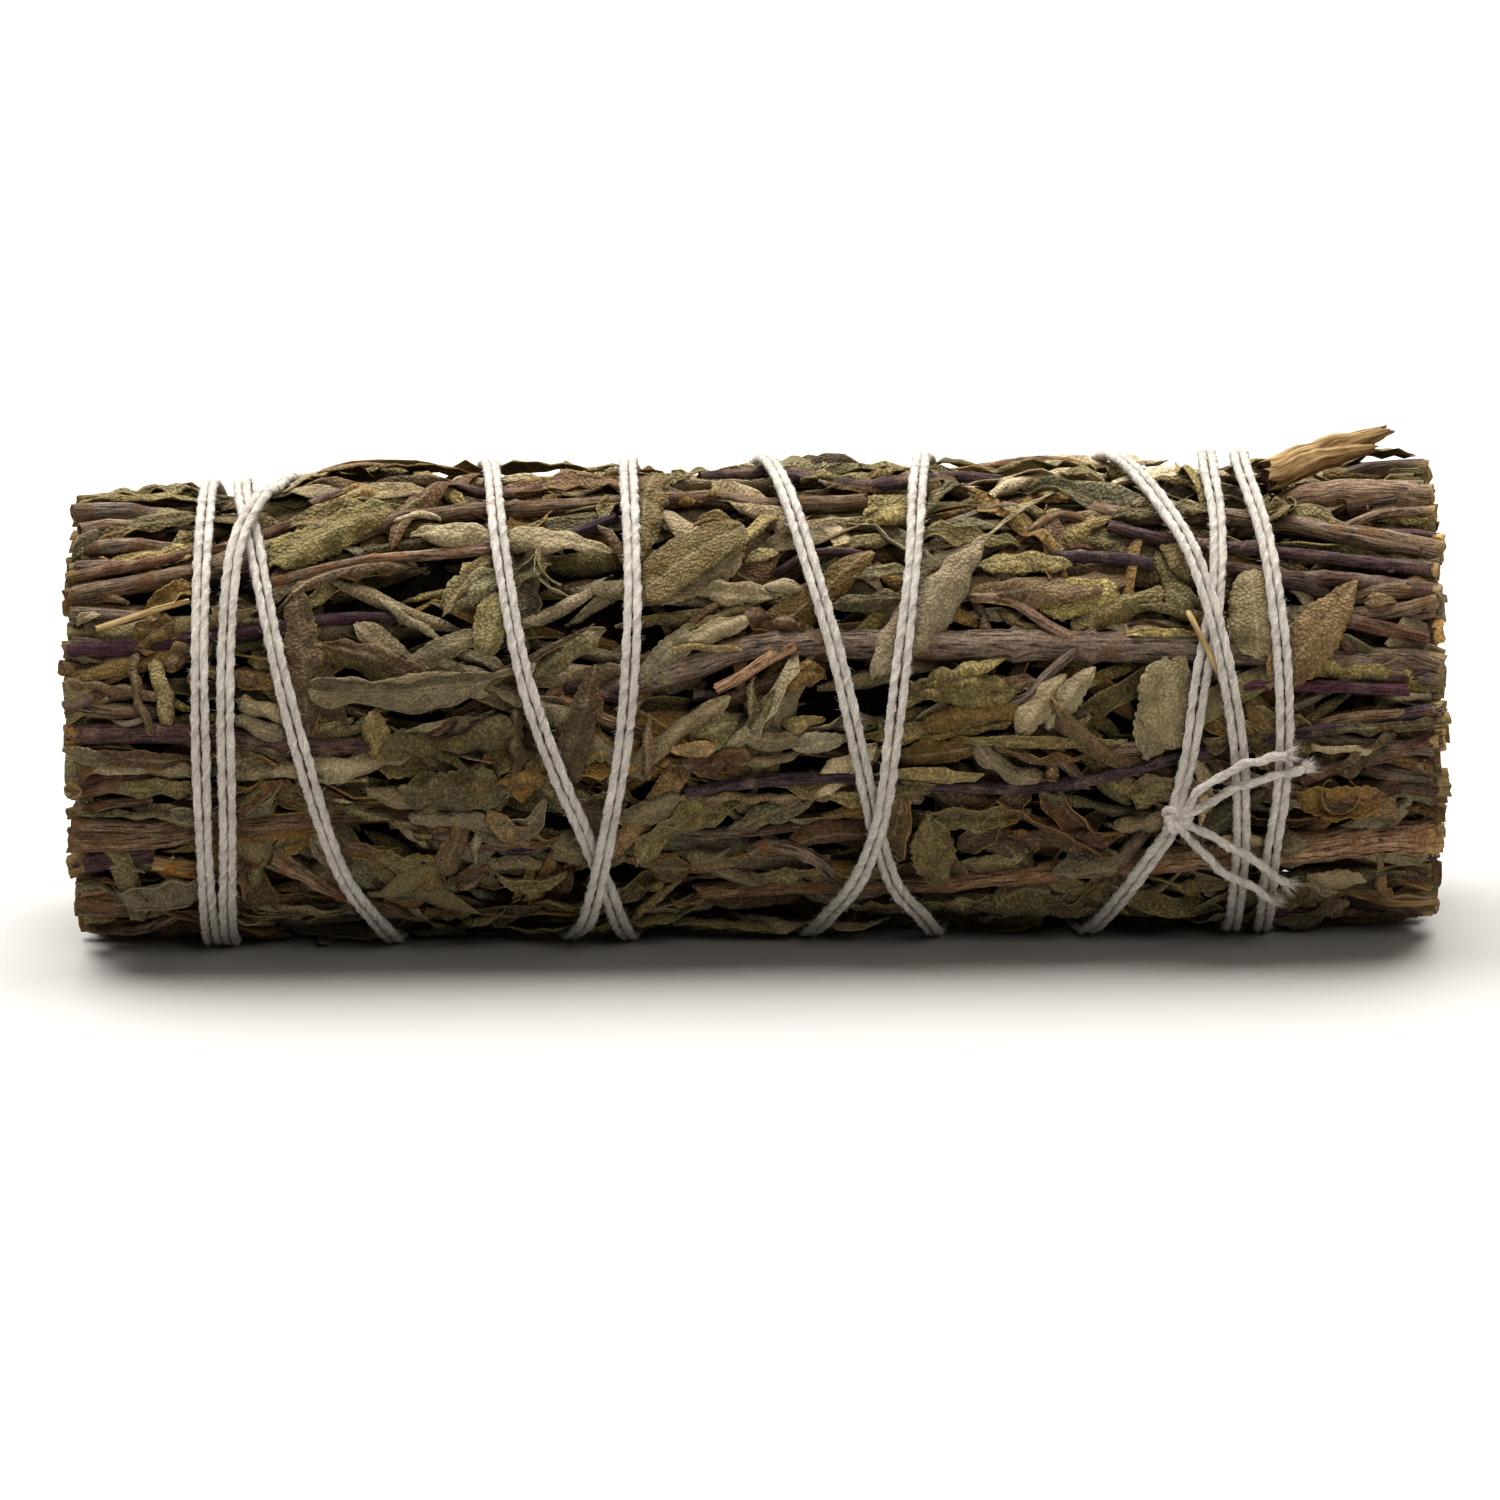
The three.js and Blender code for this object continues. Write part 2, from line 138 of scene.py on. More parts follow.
def spline(points, count):
    """A centripetal Catmull-Rom curve through the points, at `count` even steps of its length."""
    points = np.asarray(points, float)
    padded = np.vstack([2 * points[0] - points[1], points, 2 * points[-1] - points[-2]])
    gap = np.maximum(gaps(padded) ** 0.5, 1e-6)[:, None]
    p0, p1, p2, p3 = padded[:-3], padded[1:-2], padded[2:-1], padded[3:]
    d0, d1, d2 = gap[:-2], gap[1:-1], gap[2:]
    m1 = d1 * ((p1 - p0) / d0 - (p2 - p0) / (d0 + d1) + (p2 - p1) / d1)
    m2 = d1 * ((p2 - p1) / d1 - (p3 - p1) / (d1 + d2) + (p3 - p2) / d2)
    steps_between = 40
    t = np.linspace(0, 1, steps_between, endpoint=False)[None, :, None]
    fine = ((2 * t ** 3 - 3 * t ** 2 + 1) * p1[:, None] + (t ** 3 - 2 * t ** 2 + t) * m1[:, None]
            + (3 * t ** 2 - 2 * t ** 3) * p2[:, None] + (t ** 3 - t ** 2) * m2[:, None])
    fine = np.vstack([fine.reshape(-1, points.shape[1]), points[-1:]])
    walked = np.append(0, np.cumsum(gaps(fine)))
    wanted = np.linspace(0, walked[-1], count)
    return np.stack([np.interp(wanted, walked, column) for column in fine.T], axis=1)


def unrolled(places):
    """Places as points of the unrolled sheet: (along, arc length, radius)."""
    return [(along, math.radians(angle) * SHEET_RADIUS, radius) for along, angle, radius in places]


def rolled(sheet):
    """Sheet points (along, arc length, radius) rolled up to points of the model."""
    return on_bunch(sheet[..., 0], np.degrees(sheet[..., 1] / SHEET_RADIUS), sheet[..., 2])


def frames(way):
    """Unit tangents, outward normals and sideways normals along a path.

    The outward normal is the direction away from the bunch's axis, made square to the tangent.
    """
    tangent = unit(np.gradient(way, axis=0))
    out = way - np.array([0, 0, AXIS_HEIGHT])
    out[:, 0] = 0
    nudge_off_axis = np.array([0, 1e-3, 2e-3])
    out += nudge_off_axis
    out = unit(out - np.sum(out * tangent, axis=1)[:, None] * tangent)
    return tangent, out, np.cross(tangent, out)


def ripple(s, turn, seed, length, waves=6, most_lobes=5):
    """Smooth random relief, mostly within -1..1: the sum of sin(2 pi s / pitch + lobes turn + start).

    Each wave draws its number of lobes round, its pitch about the length, and its start.
    """
    draw = np.random.default_rng(seed)
    total = 0
    for _ in range(waves):
        lobes = draw.integers(1, most_lobes + 1)
        pitch = length * draw.uniform(0.5, 2)
        total = total + np.sin(2 * np.pi * s / pitch + lobes * turn + draw.uniform(0, 6.28))
    return total / waves ** 0.5 / 1.5


# ---------------------------------------------------------------- meshes

class Build:
    """Collects vertices, faces, material numbers and point attributes of one piece.

    `by_group` says that its leaves take the material of their group of tones.
    """

    def __init__(self, by_group=False):
        self.points, self.faces, self.finish, self.marks, self.count = [], [], [], {}, 0
        self.by_group = by_group

    def add(self, points, faces, finish=0, **marks):
        """Adds points, faces of their numbers (-1 in place of a fourth corner), and marks by point."""
        points = np.asarray(points, float).reshape(-1, 3)
        self.points.append(points)
        faces = np.asarray(faces)
        self.faces.append(np.where(faces < 0, -1, faces + self.count))
        self.finish.append(np.broadcast_to(finish, len(faces)))
        for name, value in marks.items():
            value = np.asarray(value, float)
            width = value.shape[-1]
            self.marks.setdefault(name, []).append(np.broadcast_to(value, (len(points), width)))
        self.count += len(points)

    def piece(self, name, materials, smooth=True):
        """Writes it all to one mesh, in metres, and links its object at the origin."""
        points = np.concatenate(self.points) * MM
        faces = np.concatenate(self.faces)
        mesh = bpy.data.meshes.new(name)
        mesh.vertices.add(len(points))
        mesh.vertices.foreach_set("co", points.astype(np.float32).ravel())
        corners = np.where(faces[:, 3] < 0, 3, 4)
        mesh.loops.add(int(corners.sum()))
        mesh.loops.foreach_set("vertex_index", faces[faces >= 0].astype(np.int32))
        mesh.polygons.add(len(faces))
        starts = np.concatenate([[0], np.cumsum(corners)[:-1]])
        mesh.polygons.foreach_set("loop_start", starts.astype(np.int32))
        mesh.polygons.foreach_set("material_index", np.concatenate(self.finish).astype(np.int32))
        mesh.polygons.foreach_set("use_smooth", np.full(len(faces), smooth))
        for mark, values in self.marks.items():
            values = np.concatenate(values).astype(np.float32)
            kind, field = ("FLOAT_COLOR", "color") if values.shape[1] == 4 else ("FLOAT_VECTOR", "vector")
            mesh.attributes.new(mark, kind, "POINT").data.foreach_set(field, values.ravel())
        mesh.update(calc_edges=True)
        mesh.validate()
        for material in materials:
            mesh.materials.append(material)
        obj = bpy.data.objects.new(name, mesh)
        bpy.context.scene.collection.objects.link(obj)
        return obj


def tube_faces(rings, sides):
    """Quads between neighbouring rings, and a fan to a pole at each end.

    Vertex numbers run ring by ring; the first pole comes after the rings, then the second.
    """
    ring, side = np.meshgrid(np.arange(rings - 1), np.arange(sides), indexing="ij")
    near, far = ring * sides, (ring + 1) * sides
    after = (side + 1) % sides
    quads = np.stack([near + side, far + side, far + after, near + after], axis=-1).reshape(-1, 4)
    s = np.arange(sides)
    n, none = rings * sides, np.full(sides, -1)
    start = np.stack([np.full(sides, n), s, (s + 1) % sides, none], axis=1)
    last = (rings - 1) * sides
    end = np.stack([np.full(sides, n + 1), last + (s + 1) % sides, last + s, none], axis=1)
    return np.concatenate([quads, start, end])


def sheet_faces(rows, columns):
    """A closed leaf: quads of the outer face, of the inner face turned over, and of the rim between."""
    i, j = np.meshgrid(np.arange(rows - 1), np.arange(columns - 1), indexing="ij")
    a = i * columns + j
    outer = np.stack([a, a + columns, a + columns + 1, a + 1], axis=-1).reshape(-1, 4)
    n = rows * columns
    inner = outer[:, ::-1] + n
    low, high = np.arange(columns), (rows - 1) * columns + np.arange(columns)
    left, right = np.arange(rows) * columns, np.arange(rows) * columns + columns - 1
    rim = []
    for edge in (low, right, high[::-1], left[::-1]):
        rim.append(np.stack([edge[:-1], edge[1:], edge[1:] + n, edge[:-1] + n], axis=1))
    return np.concatenate([outer, inner, *rim])


# ---------------------------------------------------------------- colours and materials

MIX = {"data_type": "RGBA"}
MULTIPLY = {"data_type": "RGBA", "blend_type": "MULTIPLY"}
OVERLAY = {"data_type": "RGBA", "blend_type": "OVERLAY"}


def linear(hexes):
    """sRGB hex to linear colour: x / 12.92 near black, else ((x + 0.055) / 1.055)^2.4; alpha is 1."""
    value = np.array([int(hexes[i:i + 2], 16) / 255 for i in (1, 3, 5)])
    value = np.where(value <= 0.04045, value / 12.92, ((value + 0.055) / 1.055) ** 2.4)
    return (*value, 1.0)


def feed(material, made, **inputs):
    """Sets or links the inputs of a node of the material.

    An input is named by i and its number, or by its label with _ for a space: of the inputs in
    use, the first so called. It takes a number, a vector, a hex colour, an output, or a node,
    which stands for its first output in use.
    """
    for key, value in inputs.items():
        label = key.replace("_", " ")
        if key[1:].isdigit():
            socket = made.inputs[int(key[1:])]
        else:
            socket = next(entry for entry in made.inputs if entry.enabled and entry.name == label)
        if isinstance(value, str):
            value = linear(value)
        if isinstance(value, bpy.types.Node):
            value = next(output for output in value.outputs if output.enabled)
        if isinstance(value, bpy.types.NodeSocket):
            material.node_tree.links.new(value, socket)
        else:
            socket.default_value = value


def node(material, kind, settings=None, **inputs):
    """Adds a node of a kind, given without its ShaderNode, with its settings and its inputs."""
    made = material.node_tree.nodes.new("ShaderNode" + kind)
    for key, value in (settings or {}).items():
        setattr(made, key, value)
    feed(material, made, **inputs)
    return made


def new_material(name):
    """A material with that name, its shader, and the function that adds a node to it."""
    material = bpy.data.materials.new(name)
    material.use_nodes = True
    return material, material.node_tree.nodes["Principled BSDF"], functools.partial(node, material)


def finish_piece(build, name, materials, slot, *nodes):
    """The piece rides on the one body and stands for the named nodes of the construction."""
    piece = build.piece(name, materials)
    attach(piece, "root")
    if nodes:
        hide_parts(*nodes)


# ---------------------------------------------------------------- camera, floor and light

def make_camera():
    """Looks at the bunch's middle from the front, a little above, turned by the roll and shifted."""
    data = bpy.data.cameras.new("camera")
    camera = bpy.data.objects.new("camera", data)
    bpy.context.scene.collection.objects.link(camera)
    bpy.context.scene.camera = camera
    tilt = math.radians(SIGHT_ELEVATION)
    camera.location = (0, -SIGHT_DISTANCE * MM * math.cos(tilt),
                       (AXIS_HEIGHT + SIGHT_DISTANCE * math.sin(tilt)) * MM)
    camera.rotation_mode = "XYZ"
    look = camera.location.copy()
    look.z -= AXIS_HEIGHT * MM
    turned = look.to_track_quat("Z", "Y").to_matrix()
    roll = np.radians(SIGHT_ROLL)
    spin = ((math.cos(roll), math.sin(roll), 0), (-math.sin(roll), math.cos(roll), 0), (0, 0, 1))
    camera.rotation_euler = (turned @ type(turned)(spin)).to_euler()
    data.sensor_width = SENSOR
    data.lens = SENSOR * SIGHT_DISTANCE / FRAME_WIDTH
    data.shift_x, data.shift_y = -AXIS_IN_FRAME[0], -AXIS_IN_FRAME[1]
    data.clip_start, data.clip_end = 0.01, 20


def make_light(name, place, size, energy, colour):
    """A soft round light at a place in metres, turned to the bunch's middle."""
    data = bpy.data.lights.new(name, "AREA")
    data.shape, data.size, data.energy, data.color = "DISK", size, energy, colour
    light = bpy.data.objects.new(name, data)
    bpy.context.scene.collection.objects.link(light)
    light.location = place
    light.rotation_mode = "QUATERNION"
    middle = type(light.location)((0, 0, AXIS_HEIGHT * MM))
    light.rotation_quaternion = (light.location - middle).to_track_quat("Z", "Y")


def make_studio():
    """A plain pale floor under a large soft light overhead, a weak one in front and an even pale sky."""
    # matt white acrylic sheet: an even pale face with no sheen
    acrylic, shader, _ = new_material("matt_white_acrylic_sheet")
    feed(acrylic, shader, Base_Color="#b9b8b6", Roughness=0.9)
    floor = Build()
    half = 4000
    floor.add([(-half, -half, 0), (half, -half, 0), (half, half, 0), (-half, half, 0)], [(0, 1, 2, 3)])
    floor.piece("floor", [acrylic], smooth=False)
    make_light("overhead_softbox", place=(-0.25, 1.1, 2.95), size=5.2, energy=340.0,
               colour=(1.0, 0.985, 0.955))
    make_light("front_fill", place=(0.8, -2.4, 1.6), size=1.2, energy=16.0, colour=(1.0, 0.96, 0.9))
    sky = bpy.data.worlds.new("pale_sky")
    sky.use_nodes = True
    feed(sky, sky.node_tree.nodes["Background"], Color="#f8f3ea", Strength=0.15)
    bpy.context.scene.world = sky
    bpy.context.scene.view_settings.view_transform = "Standard"
    bpy.context.scene.view_settings.look = "Medium High Contrast"


# ---------------------------------------------------------------- stems

def bark_material(name, low, high, flake, speck=1.4):
    """Dry stem bark: cracked fibres along the stem, specks of down, flaking patches, each stem's tint.

    The fibres run from the low colour to the high one, and the specks are up to `speck` times as
    light. It has come off within about 1 mm of the cut ends, browner at the left and fresher at
    the right. The fibres are about 0.16 mm wide and 2 mm long, the specks 0.2 mm, the flakes 2 mm.
    """
    material, shader, add = new_material(name)
    place = add("Attribute", {"attribute_name": "stem_place"}).outputs["Vector"]
    tint = add("Attribute", {"attribute_name": "stem_tint"}).outputs["Color"]
    end_marks = add("Attribute", {"attribute_name": "stem_end"}).outputs["Vector"]
    end = add("SeparateXYZ", Vector=end_marks)
    stretched = add("Mapping", Vector=place, Scale=(0.35, 4.2, 4.2))
    fibres = add("TexNoise", Vector=stretched, Scale=1.5, Detail=5.0, Roughness=0.7)
    patches = add("TexNoise", Vector=place, Scale=0.5, Detail=4.0)
    specks = add("TexNoise", Vector=place, Scale=5.0, Detail=3.0, Roughness=0.7)
    frays = add("TexNoise", Vector=place, Scale=1.4, Detail=3.0)
    to_bare = add("Math", {"operation": "MULTIPLY_ADD"}, i0=frays, i1=-4.0, i2=end.outputs[0])
    bare_share = add("MapRange", Value=to_bare, From_Min=-0.9, From_Max=-1.2)
    fibre_share = add("MapRange", Value=fibres, From_Min=0.38, From_Max=0.62)
    crack_tone = add("MapRange", Value=fibres, From_Min=0.36, From_Max=0.44, To_Min=0.35)
    flake_share = add("MapRange", Value=patches, From_Min=0.52, From_Max=0.66)
    speck_tone = add("MapRange", Value=specks, From_Min=0.32, From_Max=0.68, To_Min=0.6, To_Max=speck)
    grain = add("Mix", MIX, Factor=fibre_share, A=low, B=high)
    flaked = add("Mix", MIX, Factor=flake_share, A=grain, B=flake)
    wood = add("Mix", MIX, Factor=end.outputs[1], A="#75603f", B="#a68d62")
    bared = add("Mix", MIX, Factor=bare_share, A=flaked, B=wood)
    tinted_bark = add("Mix", MULTIPLY, Factor=1.0, A=bared, B=tint)
    specked = add("Mix", MULTIPLY, Factor=1.0, A=tinted_bark, B=speck_tone)
    cracked = add("Mix", MULTIPLY, Factor=1.0, A=specked, B=crack_tone)
    height = add("Math", {"operation": "MULTIPLY_ADD"}, i0=specks, i1=0.4, i2=fibres)
    bump = add("Bump", Strength=1.0, Distance=0.0003, Height=height)
    feed(material, shader, Base_Color=cracked, Normal=bump, Roughness=0.8, Specular_IOR_Level=0.3)
    return material


def cut_wood_material(name, pale, dark):
    """Cut or split stem wood: cream to tan, with fine fibres and a few brown spots.

    A cut is darker in its pith and in the ring of bark round it. The fibres are about 0.2 mm
    wide and 3 mm long, the spots 1 mm.
    """
    material, shader, add = new_material(name)
    place = add("Attribute", {"attribute_name": "stem_place"}).outputs["Vector"]
    stretched = add("Mapping", Vector=place, Scale=(0.35, 4.5, 4.5))
    fibres = add("TexNoise", Vector=stretched, Scale=1.0, Detail=4.0)
    spots = add("TexNoise", Vector=place, Scale=0.9, Detail=2.0)
    fibre_share = add("MapRange", Value=fibres, From_Min=0.38, From_Max=0.62)
    spot_share = add("MapRange", Value=spots, From_Min=0.5, From_Max=0.7, To_Max=0.4)
    grain = add("Mix", MIX, Factor=fibre_share, A=dark, B=pale)
    spotted = add("Mix", MIX, Factor=spot_share, A=grain, B="#6b4a22")
    end_marks = add("Attribute", {"attribute_name": "stem_end"}).outputs["Vector"]
    from_heart = add("SeparateXYZ", Vector=end_marks).outputs[2]
    pith_share = add("MapRange", Value=from_heart, From_Min=0.3, From_Max=0.12, To_Max=0.6)
    bark_share = add("MapRange", Value=from_heart, From_Min=0.78, From_Max=1.0, To_Max=0.85)
    hearted = add("Mix", MIX, Factor=pith_share, A=spotted, B="#54412a")
    barked = add("Mix", MIX, Factor=bark_share, A=hearted, B="#3c2c20")
    bump = add("Bump", Strength=0.9, Distance=0.0003, Height=fibres)
    feed(material, shader, Base_Color=barked, Normal=bump, Roughness=0.85, Specular_IOR_Level=0.2)
    return material


def down_material():
    """Short plant down: pale, dry and matt, a little greyer in patches of about 2.5 mm."""
    material, shader, add = new_material("pale_plant_down")
    place = add("TexCoord").outputs["Object"]
    drift = add("TexNoise", Vector=place, Scale=400, Detail=2.0)
    shade = add("Mix", MIX, Factor=drift, A="#8d8375", B="#cfc6b6")
    feed(material, shader, Base_Color=shade, Roughness=0.9)
    return material


# The numbers that a piece's stem finishes have in it, and the slots they go in
BARK, PURPLE, RED, MAGENTA, WOOD, STRAW, PALE_BARK = range(7)
SLOT_OF = {BARK: "bark", PALE_BARK: "bark", PURPLE: "purple_stem", RED: "purple_stem",
           MAGENTA: "purple_stem", WOOD: "split_wood", STRAW: "straw"}
# A piece of one stem has its own side first, then the browned cut, the fresh cut and the down
OWN_SIDE, BROWNED_CUT, FRESH_CUT, DOWN = range(4)

# The rings that close a cut, from its heart out: share of the section, and lift over the width
CUT_RINGS = ((0.2, -0.04), (0.45, -0.01), (0.82, 0.03), (0.97, 0.02))
CUT_HEART_LIFT = -0.06
FRESH_FROM = 40  # the cuts this far along and further are fresh
SIDE_SHARE = 0.6  # what the side has in place of a share of a cut


def add_stem(build, way, widths, seed, rings=(), ridges=0.07, ragged=0.6, step=0.45, side_finish=OWN_SIDE,
             cuts=(BROWNED_CUT, FRESH_CUT), most_sides=20):
    """A stem carried along a path: a round section whose radius ripples with distance and turn.

    radius = width / 2 * (1 + ridges * ripple + 0.3 * sum of a bell curve round each node ring),
    and the section wanders from the path by 0.06 * width * ripple. CUT_RINGS close each end to a
    pole, and `ragged` breaks the cut. `side_finish` and `cuts` are the material numbers of the
    side, and of a cut at the left and right.

    stem_place is the distance along it, and across it from its heart, in millimetres, shifted so
    that no two stems look alike. stem_end is how far the end plane is, whether it is the right
    one, and the share of a cut from its heart.
    """
    length = gaps(way).sum()
    sides = int(np.clip(8 + 5 * max(widths), 9, most_sides))
    path = spline(way, max(int(length / step), 3) + 1)
    tangent, out, side = frames(path)
    s = np.linspace(0, length, len(path))[:, None]
    turn = np.linspace(0, 2 * np.pi, sides, endpoint=False)[None, :]
    width = np.interp(s, np.linspace(0, length, len(widths)), widths)
    relief = 1 + ridges * ripple(s, turn, seed, 5.0) + 0.6 * ridges * ripple(s, turn, seed + 1, 0.9, 4, 7)
    for ring in rings:
        relief = relief + 0.3 * np.exp(-((s - ring) / 0.28) ** 2) * (1 + 0.4 * np.sin(turn * 3 + ring))
    radius = width / 2 * relief
    wobble = 0.06 * width * ripple(s, 0 * turn, seed + 2, 4.0)
    body = ringed(path, radius * np.cos(turn) + wobble, out, radius * np.sin(turn), side)
    break_off = ragged * max(widths) * 0.5 * ripple(turn * 0, turn, seed + 3, 1.0, 5, 6)
    ends = []
    for index, sign in ((0, -1), (-1, 1)):
        rim = body[index] + (sign * break_off[0] * 0.4)[:, None] * tangent[index]
        heart = path[index]
        inner = [heart + (rim - heart) * share + sign * tangent[index] * lift * max(widths)
                 for share, lift in CUT_RINGS]
        ends.append((rim, inner, heart + sign * tangent[index] * CUT_HEART_LIFT * max(widths)))
    (first, first_cut, first_pole), (last, last_cut, last_pole) = ends
    grid = np.concatenate([np.stack(first_cut), [first], body[1:-1], [last], np.stack(last_cut[::-1])])
    count, closing = len(grid), len(CUT_RINGS)
    ring_of = np.concatenate([np.repeat(np.arange(count - 1), sides), np.zeros(sides), np.full(sides, count)])
    left_cut, right_cut = (cuts[int(path[index, 0] > FRESH_FROM)] for index in (0, -1))
    finish = np.where(ring_of < closing, left_cut,
                      np.where(ring_of >= count - closing - 1, right_cut, side_finish))
    points = np.concatenate([grid.reshape(-1, 3), [first_pole, last_pole]])
    shift = seed * 7.3
    shares = [share for share, _ in CUT_RINGS]
    along = np.repeat(np.concatenate([np.zeros(closing), s[:, 0], np.full(closing, length)]), sides)
    across = np.repeat([*shares, *np.ones(len(path)), *shares[::-1]], sides) * np.mean(widths) / 2
    place = np.stack([along + shift, np.tile(np.cos(turn[0]), count) * across,
                      np.tile(np.sin(turn[0]), count) * across + seed], axis=1)
    place = np.concatenate([place, [[shift, 0, seed], [length + shift, 0, seed]]])
    shares[-1] = 1.0
    cut_share = [*shares, *np.full(len(path), SIDE_SHARE), *shares[::-1]]
    cut_share = np.append(np.repeat(cut_share, sides), [0, 0])
    draw = np.random.default_rng(seed + 5)
    tint = math.exp(draw.normal(0, 0.2)) * (1 + draw.normal(0, 0.06) * np.array([1.0, 0.1, -1.2]))
    to_end = END_PLANE - np.abs(points[:, 0])
    build.add(points, tube_faces(count, sides), finish, stem_place=place, stem_tint=np.array([[*tint, 1.0]]),
              stem_end=np.stack([to_end, points[:, 0] > 0, cut_share], axis=1))
    return path, out, tangent, radius


def add_hairs(build, roots, ways, lengths, thick, **marks):
    """Fine hairs: each is a long four-faced spike, a triangle of width `thick` drawn to a point.

    A hair that would reach the floor is shortened.
    """
    ways = unit(ways)
    room = (roots[:, 2] - 0.05) / np.maximum(-ways[:, 2], 0.05)
    lengths = np.minimum(lengths, np.maximum(room, 0.03))
    aside = unit(np.cross(ways, [0.31, 0.77, 0.55]))
    other = np.cross(ways, aside)
    base = [roots + thick * (math.cos(corner) * aside + math.sin(corner) * other)
            for corner in (0, 2.09, 4.19)]
    points = np.stack([*base, roots + ways * lengths[:, None]], axis=1)
    n = np.arange(len(roots))[:, None] * 4
    faces = np.concatenate([n + np.array([face]) for face in ((0, 2, 1), (0, 1, 3), (1, 2, 3), (2, 0, 3))])
    faces = np.concatenate([faces, np.full((len(faces), 1), -1)], axis=1)
    build.add(points, faces, **marks)


